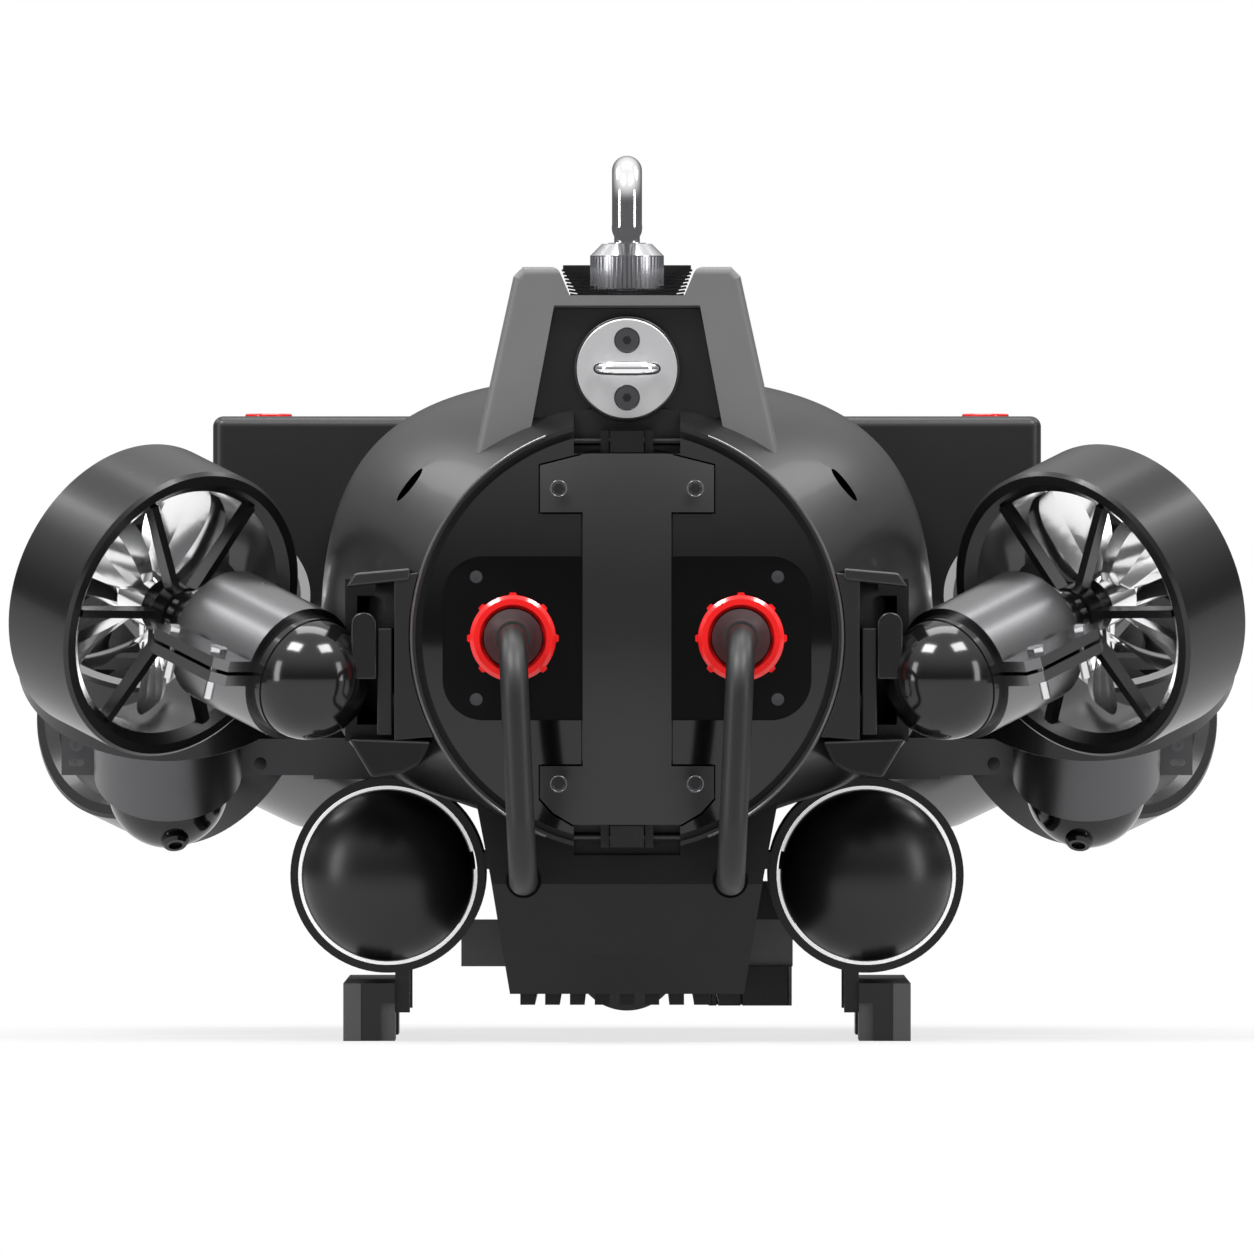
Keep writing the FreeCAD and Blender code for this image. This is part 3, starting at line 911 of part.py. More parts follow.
clamp_halves = []
clamp_bolts = []
brackets = []
for name, side, sign, place in UNITS:
    tag = "%s_%s" % (name, side)
    duct, duct_planes = turned("duct_%s_body" % tag, [
        ("duct_bore + duct_lip", "0"), ("duct_rad - 1.5", "0"), ("duct_rad", "-1.5"), ("duct_rad", "1.5 - duct_long"),
        ("duct_rad - 1.5", "-duct_long"), ("duct_bore + duct_lip", "-duct_long"),
        ("duct_bore", "duct_lip - duct_long"), ("duct_bore", "-duct_lip")])
    hub = discs(duct, duct_planes, "XY_Plane", [("0", "0", "strut_ring + 1")], "hub_%s" % tag)
    pad(duct, hub, "strut_deep + 1", "hub_pad_%s" % tag, reverse=True)
    rib = outline(duct, duct_planes, "XZ_Plane", [
        ("strut_ring - 2", "-strut_deep - 1"), ("duct_bore + 1", "-strut_deep - 1"), ("duct_bore + 1", "-1.4"),
        ("strut_ring - 2", "0")], "strut_%s" % tag)
    strut = pad(duct, rib, "strut_thick", "strut_pad_%s" % tag, both=True)
    ring_of(duct, duct_planes, strut, "strut_count", "struts_%s" % tag)
    axle = discs(duct, duct_planes, "XY_Plane", [("0", "0", "prop_shaft + running_gap")], "axle_%s" % tag)
    hole = pocket(duct, axle, "60", "axle_hole_%s" % tag, both=True)
    duct.Placement = place
    node("duct_" + tag, duct)

    end = "pod_end" if name != "lift" else "shroud_end + 8"
    pod, pod_planes = turned("pod_%s_body" % tag, [
        ("0", "14"), ("prop_shaft + running_gap", "14"), ("prop_shaft + running_gap", "0"), ("strut_ring", "0"),
        ("strut_ring + 1.5", "nose_start"), ("pod_rad - 2.5", "pod_start - 4"), ("pod_rad", "pod_start"), ("pod_rad", end),
        ("0", end)])
    cap = doc.addObject("Part::Sphere", "pod_dome_%s" % tag)
    bind(cap, "Radius", "pod_rad - 0.5")
    cap.Placement = place * at("0", "0", end)
    pod.Placement = place
    pieces = [pod, cap]
    if name == "lift":
        look = frame(tuple(place.multVec(V(0, 0, value(end)))), (-sign * 0.12, -0.51, -0.86), (1, 0, 0))
        vent = turned("vent_%s_plug" % tag, [
            ("0", "20"), ("vent_plug_rad + 1.4", "20"), ("vent_plug_rad + 1.4", "27.4"), ("vent_plug_rad", "28.8"),
            ("vent_plug_rad - 1.6", "28.8"), ("vent_plug_rad - 1.9", "27"), ("0", "27")])[0]
        vent.Placement = look
        pieces.append(vent)
    node("motor_pod_" + tag, fuse("motor_%s" % tag, pieces))

    hand = sign if name != "lift" else -sign
    screw = shaped("screw_%s" % tag, propeller(hand))
    screw.Placement = place
    node("propeller_" + tag, screw)

    if name == "lift":
        continue
    up = 1 if place.Rotation.multVec(V(0, 1, 0)).z > 0 else -1
    start = value("clamp_start")
    run = value("clamp_end - clamp_start")
    tube = Part.makeCylinder(value("clamp_rad"), run, V(0, 0, start))
    inside = Part.makeCylinder(value("pod_rad"), run + 2, V(0, 0, start - 1))
    far = value("clamp_rad + flange_out")
    for half in (1, -1):
        gap = value("clamp_split / 2")
        keep = Part.makeBox(200, 60, run + 2, V(-100, gap if half > 0 else -60 - gap, start - 1))
        outline_points = [V(-value("pod_rad") + 1, 0, start), V(-far + 4, 0, start), V(-far, 0, start + 6),
                          V(-far, 0, start + run - 6), V(-far + 4, 0, start + run), V(-value("pod_rad") + 1, 0, start + run)]
        plate = Part.Face(Part.makePolygon(outline_points + [outline_points[0]]))
        plate.translate(V(0, half * gap, 0))
        plate = plate.extrude(V(0, half * value("flange_thick"), 0))
        shell = tube.common(keep).fuse(plate).cut(inside)
        for hole_z in (-0.5, 0.5):
            z = start + run / 2 + hole_z * value("clamp_bolt_pitch")
            shell = shell.cut(Part.makeCylinder(value("clamp_bolt_rad"), 40, V(-value("clamp_rad + clamp_bolt_out"), -20, z),
                                                V(0, 1, 0)))
        shell.Placement = place
        clamp_halves.append(shell)
    for hole_z in (-0.5, 0.5):
        z = start + run / 2 + hole_z * value("clamp_bolt_pitch")
        x = -value("clamp_rad + clamp_bolt_out")
        top = value("clamp_split / 2 + flange_thick")
        head = [V(x + 3.9 * math.cos(math.pi / 3 * i), up * top, z + 3.9 * math.sin(math.pi / 3 * i)) for i in range(7)]
        bolt = Part.Face(Part.makePolygon(head)).extrude(V(0, up * 2.6, 0))
        shank = Part.makeCylinder(value("clamp_bolt_rad"), 2 * top + 9, V(x, up * top, z), V(0, -up, 0))
        bolt = bolt.fuse(shank)
        bolt.Placement = place
        clamp_bolts.append(bolt)

    arm = Part.makeBox(70, 13, 32, V(value("pod_rad") - 1, -6.5, start + run / 2 - 16))
    barrel = Part.makeCylinder(value("clamp_rad"), 120, V(0, 0, 24))
    arm.Placement = place
    barrel.Placement = place
    if name == "rear":
        foot = Part.makeBox(32, 50, 68, V(-118, -168, 126))
        hollow = Part.makeBox(21, 36, 54, V(-113, -170, 133))
    else:
        foot = Part.makeBox(24, 40, 38, V(-112, 188, 103))
        hollow = Part.makeBox(10, 28, 26, V(-114, 194, 120))
    foot = foot.cut(hollow)
    if sign > 0:
        foot = foot.mirror(V(0, 0, 0), V(1, 0, 0))
    shelf = foot.fuse(arm).cut(barrel)
    piece = shaped("bracket_stock_%s" % tag, shelf)
    brackets.append(cut("bracket_%s" % tag, piece, hull_form))
node("thruster_clamps", shaped("clamp_set", Part.makeCompound(clamp_halves)))
node("clamp_bolts", shaped("clamp_bolt_set", Part.makeCompound(clamp_bolts)))
doc.recompute()
node("thruster_brackets", shaped("bracket_set", Part.makeCompound([b.Shape for b in brackets])))

# Side beams: a bent strip with its end tab, and the shroud that clasps the lifting thruster's motor.
for name, side, sign, place in UNITS:
    if name != "lift":
        continue
    shroud = Part.makeCylinder(value("shroud_rad"), value("shroud_end - shroud_start"), V(0, 0, value("shroud_start")))
    shroud.Placement = place
    x_out = sign * value("beam_out_x")
    x_in = sign * value("beam_in_x")
    thick = value("beam_thick")
    strip_points = [(x_out, value("beam_low_z")), (x_in, value("beam_low_z")), (x_in, value("beam_top_z")),
                    (x_out - sign * (value("tab_wide") + 4), value("beam_top_z")),
                    (x_out - sign * value("tab_wide"), value("tab_top_z")), (x_out + 0, value("tab_top_z"))]
    spots = [V(x, value("beam_y"), z) for x, z in strip_points]
    strip = Part.Face(Part.makePolygon(spots + [spots[0]])).extrude(V(0, thick, 0))
    ends = (x_in, sign * value("beam_in_x - 34"))
    socket = Part.makeBox(abs(ends[1] - ends[0]), 20, value("beam_top_z - beam_low_z") + 2,
                          V(min(ends), value("beam_y") - 8, value("beam_low_z") - 1.7))
    lug_mid = sign * value("lift_rim_x")
    lug = Part.makeBox(24, 16, 12, V(lug_mid - 12, value("beam_y") - 16, value("beam_top_z") - 6))
    beam = strip.fuse([socket, lug, shroud])
    core = Part.makeCylinder(value("pod_rad"), 200, V(0, 0, -60))
    core.Placement = place
    clear = Part.makeCylinder(value("pod_rad + 1.4"), 80, V(0, 0, value("shroud_end")))
    clear.Placement = place
    beam = beam.cut(core).cut(clear)
    for x, z, rad in ((value("beam_hole_x"), value("beam_low_z") + 4.9, value("beam_hole_rad")),
                      (value("beam_out_x") - 6.4, value("beam_low_z") + 13.2, 1.8)):
        beam = beam.cut(Part.makeCylinder(rad, 20, V(sign * x, value("beam_y") - 5, z), V(0, 1, 0)))
    slot_x = sign * (value("beam_out_x") - 6.4)
    slot = Part.makeBox(3.6, 20, 2.8, V(slot_x - 1.8, value("beam_y") - 5, value("beam_low_z") + 4.0))
    for hand in (-1, 1):
        slot = slot.fuse(Part.makeCylinder(1.4, 20, V(slot_x + hand * 1.8, value("beam_y") - 5,
                                                     value("beam_low_z") + 5.4), V(0, 1, 0)))
    beam = beam.cut(slot)
    beam_stock = shaped("beam_stock_" + side, beam.removeSplitter())
    node("side_beam_" + side, cut("beam_" + side, beam_stock, hull_form))
    piece = socket_screw(3.0, 2.0, 1.8, thick, 1.3)
    piece.Placement = FreeCAD.Placement(V(sign * (value("beam_out_x") - 6.4), value("beam_y") - 2.0,
                                          value("beam_low_z") + 13.2), AFT)
    screws.append(piece)
node("socket_screws", shaped("screw_set", Part.makeCompound(screws)))

# ---------------------------------------------------------------- bow tools and the inner chassis

tool_y = "keel_stern_y + keel_long"
bar, bar_planes = prism("tool_bar_body", "XZ_Plane", [
    ("-tool_half", "tool_low_z"), ("tool_half", "tool_low_z"), ("tool_half", "tool_top_z"), ("-tool_half", "tool_top_z")],
    "tool_deep", reverse=True)
bar.Placement = at("0", tool_y, "0")
node("tool_bar", bar)

sonar_low = Part.makeBox(value("sonar_wide"), 34, value("tool_low_z") - 10.4,
                         V(value("sonar_x"), value(tool_y) - 6, 10.4))
sonar_low = sonar_low.makeFillet(2.0, [e for e in sonar_low.Edges if e.BoundBox.ZLength > 10])
for groove_x in (3.4, 13.8):
    sonar_low = sonar_low.cut(Part.makeBox(0.8, 60, 60, V(value("sonar_x") + groove_x, value(tool_y) - 34.8, 0)))
sonar_top = Part.makeBox(17.0, 26, 16.5, V(value("tool_half") - 17.1, value(tool_y), value("tool_top_z")))
sonar_top = sonar_top.makeFillet(2.0, [e for e in sonar_top.Edges if e.BoundBox.YLength > 10
                                       and e.BoundBox.ZMin > value("tool_top_z") + 1])
node("sonar_head", shaped("sonar_pair", Part.makeCompound([sonar_low, sonar_top])))

camera, camera_planes = turned("keel_camera_body", [
    ("0", "0"), ("eye_rad", "0"), ("eye_rad", "26"), ("eye_rad - 2.5", "29"), ("eye_rad - 5", "29"),
    ("eye_rad - 7", "26"), ("eye_rad - 15", "26.5"), ("0", "30")])
camera.Placement = FreeCAD.Placement(V(0, value(tool_y + " + tool_deep"), value("eye_z")), FreeCAD.Rotation(V(1, 0, 0), -90))
node("keel_camera", camera)

pivot_y = value("hull_bow_y - 8")
mid_z = value("hull_z")
deck_y = value("hull_bow_y - 50")
aft_y = value("hull_wide_y - 22")
bulk = Part.makeCylinder(value("hull_pass_rad"), 6, V(0, deck_y, mid_z), V(0, 1, 0))
rear_bulk = Part.makeCylinder(value("hull_pass_rad"), 6, V(0, aft_y, mid_z), V(0, 1, 0))
rear_bulk = rear_bulk.cut(Part.makeCylinder(18, 20, V(0, aft_y - 5, mid_z + 28), V(0, 1, 0)))
tray = Part.makeBox(100, deck_y - aft_y, 3, V(-50, aft_y + 3, mid_z - 12))
chassis = bulk.fuse([rear_bulk, tray])
for x in (-30, 30):
    ear = Part.makeBox(4, pivot_y - deck_y + 7, 18, V(x - 2, deck_y + 3, mid_z - 9))
    chassis = chassis.fuse(ear)
for x, y, deep, wide, tall in ((-46, 20, 70, 60, 22), (20, 30, 60, 24, 34), (-40, 120, 60, 80, 12)):
    chassis = chassis.fuse(Part.makeBox(wide, deep, tall, V(x, aft_y + y, mid_z - 9.5)))
chassis = chassis.cut(Part.makeCylinder(3 + value("running_gap"), 90, V(-45, pivot_y, mid_z), V(1, 0, 0)))
node("electronics_chassis", shaped("chassis", chassis))

eye = Part.makeSphere(value("cam_rad"), V(0, pivot_y, mid_z))
eye = eye.fuse(Part.makeCylinder(11, 26, V(0, pivot_y, mid_z), V(0, 1, 0)))
eye = eye.cut(Part.makeCylinder(8.4, 4, V(0, pivot_y + 23.5, mid_z), V(0, 1, 0)))
eye = eye.fuse(Part.makeCylinder(3, 64, V(-32, pivot_y, mid_z), V(1, 0, 0)))
for x in (-27.4, 21.8):
    eye = eye.fuse(Part.makeCylinder(6, 5.6, V(x, pivot_y, mid_z), V(1, 0, 0)))
node("tilt_camera", shaped("camera_ball", eye))

# ---------------------------------------------------------------- check, centre and write

doc.recompute()
for obj in doc.Objects:
    if "Invalid" in obj.State or "Error" in obj.State:
        raise RuntimeError("failed: " + obj.Name)
pieces = []
for obj in NODES:
    shape = obj.Shape
    if shape.isNull() or not shape.isValid() or not shape.Solids:
        raise RuntimeError("bad shape: " + obj.Label)
    pieces.append(shape)

# The pieces' true extent along Y, from a fine mesh, puts the origin in the middle of the base.
low_y = min(min(p.y for p in shape.tessellate(0.1)[0]) for shape in (
    [o.Shape for o in NODES if o.Label in ("leads", "motor_pod_fore_port")]))
high_y = max(max(p.y for p in shape.tessellate(0.1)[0]) for shape in (
    [o.Shape for o in NODES if o.Label in ("motor_pod_fore_port", "front_dome", "sonar_head")]))
shift = -(low_y + high_y) / 2
print("shift along Y %.3f, length %.2f" % (shift, high_y - low_y))
os.makedirs("parts", exist_ok=True)
for obj in NODES:
    shape = obj.Shape.copy()
    shape.translate(V(0, shift, 0))
    shape.exportStep(os.path.join("parts", obj.Label + ".step"))
print(len(NODES), "pieces written")
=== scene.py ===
import math

import bmesh
import bpy
from bpy.props import FloatProperty, FloatVectorProperty, PointerProperty
from mathutils import Matrix, Vector


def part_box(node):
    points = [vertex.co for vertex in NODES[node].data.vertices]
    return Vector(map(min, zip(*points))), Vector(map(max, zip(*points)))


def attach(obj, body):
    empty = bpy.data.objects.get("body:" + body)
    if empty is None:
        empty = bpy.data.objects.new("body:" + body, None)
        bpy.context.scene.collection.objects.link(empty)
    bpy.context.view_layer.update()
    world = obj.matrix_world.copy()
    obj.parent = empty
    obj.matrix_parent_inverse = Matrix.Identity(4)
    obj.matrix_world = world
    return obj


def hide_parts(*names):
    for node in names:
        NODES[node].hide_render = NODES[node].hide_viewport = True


bl_info = {
    "name": "Inspection vehicle dresser",
    "version": (1, 0, 0),
    "blender": (4, 5, 0),
    "location": "3D View > Sidebar > Vehicle",
    "description": "Dresses an underwater inspection vehicle with finishes and fine pieces",
    "category": "Object",
}

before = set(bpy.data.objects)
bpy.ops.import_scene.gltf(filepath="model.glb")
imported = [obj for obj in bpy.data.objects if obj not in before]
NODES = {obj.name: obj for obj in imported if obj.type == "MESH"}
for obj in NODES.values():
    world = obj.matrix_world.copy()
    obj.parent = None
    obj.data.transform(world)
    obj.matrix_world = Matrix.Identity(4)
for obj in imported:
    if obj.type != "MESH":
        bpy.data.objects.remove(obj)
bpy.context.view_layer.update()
SIDES = (("port", -1.0), ("starboard", 1.0))
UNITS = ("rear", "lift", "fore")
MM = 0.001
BASE = "vehicle"
ORIGIN = (0.0, 0.0, 0.0)
AFT = (0.0, -1.0, 0.0)
FORE = (0.0, 1.0, 0.0)
UP = (0.0, 0.0, 1.0)
WHITE = (1.0, 1.0, 1.0, 1.0)


# Shader groups: each puts out values that change over the surface.

SKIN_OUTPUTS = (("Colour", "NodeSocketColor"), ("Roughness", "NodeSocketFloat"),
                ("Height", "NodeSocketFloat"))


def group_tree(name, inputs, outputs):
    """A shader group with its named number inputs, and its named outputs."""
    tree = bpy.data.node_groups.new(name, "ShaderNodeTree")
    for label, kind, default in inputs:
        socket = tree.interface.new_socket(label, in_out="INPUT", socket_type=kind)
        socket.default_value = default
    for label, kind in outputs:
        tree.interface.new_socket(label, in_out="OUTPUT", socket_type=kind)
    return tree, tree.nodes.new("NodeGroupInput"), tree.nodes.new("NodeGroupOutput")


def math_node(tree, operation, first, second, clamp=False):
    """One Math node, whose two values are sockets or numbers."""
    made = tree.nodes.new("ShaderNodeMath")
    made.operation = operation
    made.use_clamp = clamp
    for socket, given in zip(made.inputs, (first, second)):
        if isinstance(given, (int, float)):
            socket.default_value = given
        else:
            tree.links.new(given, socket)
    return made.outputs[0]


def noise_node(tree, vector, scale, detail, roughness=0.5):
    """One Noise Texture read at a vector; its scale may be a socket."""
    made = tree.nodes.new("ShaderNodeTexNoise")
    made.inputs["Detail"].default_value = detail
    made.inputs["Roughness"].default_value = roughness
    if isinstance(scale, (int, float)):
        made.inputs["Scale"].default_value = scale
    else:
        tree.links.new(scale, made.inputs["Scale"])
    tree.links.new(vector, made.inputs["Vector"])
    return made.outputs["Fac"]


def moulded_skin():
    """Grain, cloudy sheen and rub marks of a moulded or coated skin."""
    rub_floor, rub_gain = 0.62, 6.0
    tree, given, out = group_tree("Moulded Skin", [
        ("Colour", "NodeSocketColor", (0.1, 0.1, 0.1, 1.0)),
        ("Drift", "NodeSocketFloat", 0.1),
        ("Grain Scale", "NodeSocketFloat", 900.0),
        ("Grain Depth", "NodeSocketFloat", 0.3),
        ("Roughness", "NodeSocketFloat", 0.4),
        ("Roughness Spread", "NodeSocketFloat", 0.1),
        ("Rub", "NodeSocketFloat", 0.1)], SKIN_OUTPUTS)
    place = tree.nodes.new("ShaderNodeTexCoord").outputs["Object"]
    cloud = noise_node(tree, place, scale=14.0, detail=3.0, roughness=0.55)
    grain = noise_node(tree, place, given.outputs["Grain Scale"], detail=2.0, roughness=0.6)
    stretch = tree.nodes.new("ShaderNodeMapping")
    stretch.inputs["Scale"].default_value = (40.0, 260.0, 190.0)
    stretch.inputs["Rotation"].default_value = (0.3, 0.7, 0.4)
    tree.links.new(place, stretch.inputs["Vector"])
    streak = noise_node(tree, stretch.outputs[0], scale=3.0, detail=4.0, roughness=0.7)
    rub = math_node(tree, "SUBTRACT", streak, rub_floor, True)
    rub = math_node(tree, "MULTIPLY", rub, rub_gain, True)
    rub = math_node(tree, "MULTIPLY", rub, given.outputs["Rub"])
    swing = math_node(tree, "SUBTRACT", cloud, 0.5)
    drift = math_node(tree, "MULTIPLY", swing, given.outputs["Drift"])
    lightness = math_node(tree, "ADD", math_node(tree, "ADD", 1.0, drift), rub)
    tint = tree.nodes.new("ShaderNodeVectorMath")
    tint.operation = "SCALE"
    tree.links.new(given.outputs["Colour"], tint.inputs[0])
    tree.links.new(lightness, tint.inputs["Scale"])
    spread = math_node(tree, "MULTIPLY", swing, given.outputs["Roughness Spread"])
    rough = math_node(tree, "ADD", given.outputs["Roughness"], spread)
    rough = math_node(tree, "ADD", rough, math_node(tree, "MULTIPLY", rub, 0.5), True)
    height = math_node(tree, "MULTIPLY", grain, given.outputs["Grain Depth"])
    tree.links.new(tint.outputs[0], out.inputs["Colour"])
    tree.links.new(rough, out.inputs["Roughness"])
    tree.links.new(height, out.inputs["Height"])
    return tree


def machined_skin():
    """Fine tool lines, tarnish and small scratches of a worked metal face."""
    mark_floor, mark_gain, dull_floor = 0.64, 5.0, 0.45
    tree, given, out = group_tree("Machined Skin", [
        ("Colour", "NodeSocketColor", (0.7, 0.7, 0.7, 1.0)),
        ("Tarnish", "NodeSocketFloat", 0.1),
        ("Line Scale", "NodeSocketFloat", 300.0),
        ("Line Depth", "NodeSocketFloat", 0.2),
        ("Roughness", "NodeSocketFloat", 0.2),
        ("Scratches", "NodeSocketFloat", 0.1)], SKIN_OUTPUTS)
    place = tree.nodes.new("ShaderNodeTexCoord").outputs["Object"]
    cloud = noise_node(tree, place, scale=30.0, detail=4.0, roughness=0.6)
    lay = tree.nodes.new("ShaderNodeMapping")
    lay.inputs["Scale"].default_value = (0.08, 1.0, 1.0)
    tree.links.new(place, lay.inputs["Vector"])
    lines = noise_node(tree, lay.outputs[0], given.outputs["Line Scale"], detail=2.0, roughness=0.6)
    cross = tree.nodes.new("ShaderNodeMapping")
    cross.inputs["Scale"].default_value = (1.0, 0.06, 0.5)
    cross.inputs["Rotation"].default_value = (0.5, 0.2, 0.9)
    tree.links.new(place, cross.inputs["Vector"])
    marks = noise_node(tree, cross.outputs[0], scale=420.0, detail=3.0, roughness=0.7)
    marks = math_node(tree, "SUBTRACT", marks, mark_floor, True)
    marks = math_node(tree, "MULTIPLY", marks, mark_gain, True)
    marks = math_node(tree, "MULTIPLY", marks, given.outputs["Scratches"])
    dull = math_node(tree, "SUBTRACT", cloud, dull_floor, True)
    dull = math_node(tree, "MULTIPLY", dull, given.outputs["Tarnish"])
    tint = tree.nodes.new("ShaderNodeVectorMath")
    tint.operation = "SCALE"
    tree.links.new(given.outputs["Colour"], tint.inputs[0])
    tree.links.new(math_node(tree, "SUBTRACT", 1.0, dull), tint.inputs["Scale"])
    rough = math_node(tree, "ADD", given.outputs["Roughness"], dull)
    rough = math_node(tree, "ADD", rough, marks, True)
    height = math_node(tree, "MULTIPLY", lines, given.outputs["Line Depth"])
    tree.links.new(tint.outputs[0], out.inputs["Colour"])
    tree.links.new(rough, out.inputs["Roughness"])
    tree.links.new(height, out.inputs["Height"])
    return tree


# Materials.

RELIEF_DEEP = 0.0004
COAT_ROUGH = 0.06
# How strongly the white gap bands glow: painted light, not a lamp.
GAP_GLOW = 0.55
GLASS_ROUGH = 0.008
GLASS_IOR = 1.49


def surface(name, group, values, metallic, coat, specular, bump):
    """A Principled material fed by one shader group, with the group's values for this finish."""
    made = bpy.data.materials.new(name)
    made.use_nodes = True
    tree = made.node_tree
    shader = tree.nodes["Principled BSDF"]
    skin = tree.nodes.new("ShaderNodeGroup")
    skin.node_tree = bpy.data.node_groups[group]
    for label, number in values.items():
        skin.inputs[label].default_value = (*number, 1.0) if isinstance(number, tuple) else number
    relief = tree.nodes.new("ShaderNodeBump")
    relief.inputs["Strength"].default_value = bump
    relief.inputs["Distance"].default_value = RELIEF_DEEP
    tree.links.new(skin.outputs["Height"], relief.inputs["Height"])
    tree.links.new(skin.outputs["Colour"], shader.inputs["Base Color"])
    tree.links.new(skin.outputs["Roughness"], shader.inputs["Roughness"])
    tree.links.new(relief.outputs[0], shader.inputs["Normal"])
    shader.inputs["Metallic"].default_value = metallic
    shader.inputs["Coat Weight"].default_value = coat
    shader.inputs["Coat Roughness"].default_value = COAT_ROUGH
    shader.inputs["Specular IOR Level"].default_value = specular
    made.diffuse_color = (*values["Colour"], 1.0)
    return made


def moulding(name, colour, rough, spread=0.08, grain=0.3, scale=900.0, drift=0.25, rub=0.06,
             coat=0.0, specular=0.5, bump=0.06):
    """A moulded plastic, rubber or paint finish."""
    return surface(name, "Moulded Skin", {
        "Colour": tuple(colour), "Drift": drift, "Grain Scale": scale, "Grain Depth": grain,
        "Roughness": rough, "Roughness Spread": spread, "Rub": rub},
        metallic=0.0, coat=coat, specular=specular, bump=bump)


def metal(name, colour, rough, tarnish=0.12, lines=0.2, scale=300.0, scratches=0.05, bump=0.05):
    """A machined or polished metal finish."""
    return surface(name, "Machined Skin", {
        "Colour": tuple(colour), "Tarnish": tarnish, "Line Scale": scale, "Line Depth": lines,
        "Roughness": rough, "Scratches": scratches},
        metallic=1.0, coat=0.0, specular=0.5, bump=bump)


def painted_gap_glow(name):
    """A white ring that gives off a little light of its own: painted light, a glow that stands in
    for the white surround seen through a gap.
    """
    made = moulding(name, (0.9, 0.9, 0.9), 0.35, drift=0.05, rub=0.02, bump=0.02)
    shader = made.node_tree.nodes["Principled BSDF"]
    shader.inputs["Emission Color"].default_value = WHITE
    shader.inputs["Emission Strength"].default_value = GAP_GLOW
    return made


def clear_glass(name):
    """A clear pane: plain transmission, with faint smears in its roughness."""
    made = bpy.data.materials.new(name)
    made.use_nodes = True
    tree = made.node_tree
    shader = tree.nodes["Principled BSDF"]
    shader.inputs["Transmission Weight"].default_value = 1.0
    shader.inputs["IOR"].default_value = GLASS_IOR
    shader.inputs["Base Color"].default_value = (0.93, 0.96, 0.98, 1.0)
    place = tree.nodes.new("ShaderNodeTexCoord").outputs["Object"]
    smear = noise_node(tree, place, scale=60.0, detail=3.0)
    rough = math_node(tree, "MULTIPLY", smear, GLASS_ROUGH)
    tree.links.new(rough, shader.inputs["Roughness"])
    return made


# Sizes and colours that a user may change.

class VehicleFinishes(bpy.types.PropertyGroup):
    """The colours of the vehicle's main finishes."""
    hull: FloatVectorProperty(
        name="Hull", description="Colour of the hull's satin moulding",
        subtype="COLOR", size=3, min=0.0, max=1.0, default=(0.011, 0.011, 0.0117))
    tower: FloatVectorProperty(
        name="Tower", description="Colour of the tower's lighter moulding",
        subtype="COLOR", size=3, min=0.0, max=1.0, default=(0.135, 0.135, 0.138))
    strap: FloatVectorProperty(
        name="Strap", description="Colour of the cover strap over the stern cap",
        subtype="COLOR", size=3, min=0.0, max=1.0, default=(0.008, 0.008, 0.0085))
    collar: FloatVectorProperty(
        name="Collars", description="Colour of the lock collars and vent plugs",
        subtype="COLOR", size=3, min=0.0, max=1.0, default=(0.86, 0.012, 0.012))
    lead: FloatVectorProperty(
        name="Leads", description="Colour of the rubber jackets of the leads",
        subtype="COLOR", size=3, min=0.0, max=1.0, default=(0.007, 0.007, 0.0075))
    clamp: FloatVectorProperty(
        name="Clamps", description="Colour of the coated thruster clamps",
        subtype="COLOR", size=3, min=0.0, max=1.0, default=(0.2, 0.2, 0.205))
    gloss: FloatProperty(
        name="Gloss", description="Roughness of the motor pods' gloss black",
        default=0.13, min=0.0, max=0.5, subtype="FACTOR")


class VehicleFinePieces(bpy.types.PropertyGroup):
    """The sizes of the fine pieces that are laid over the vehicle's solids."""
    bead: FloatProperty(
        name="Bead", description="Radius of the bead that edges the stern cap",
        default=0.0006, min=0.0002, max=0.002, unit="LENGTH")


class VehicleStage(bpy.types.PropertyGroup):
    """The studio round the vehicle."""
    distance: FloatProperty(
        name="Distance", description="From the camera to the plane of the rear thrusters",
        default=12.0, min=1.0, max=20.0, unit="LENGTH")
    view_wide: FloatProperty(
        name="View width", description="What the camera's frame spans at the vehicle",
        default=0.5267, min=0.3, max=2.0, unit="LENGTH")
    view_height: FloatProperty(
        name="View height", description="Height of the middle of the camera's frame",
        default=0.1739, min=0.0, max=1.0, unit="LENGTH")
    lamps: FloatProperty(
        name="Lamps", description="Scale of every lamp's power",
        default=1.0, min=0.0, max=10.0, subtype="FACTOR")
    sky: FloatProperty(
        name="Sky", description="Strength of the light that comes from all round",
        default=0.55, min=0.0, max=2.0, subtype="FACTOR")


# The finishes, made once from the panel's colours.

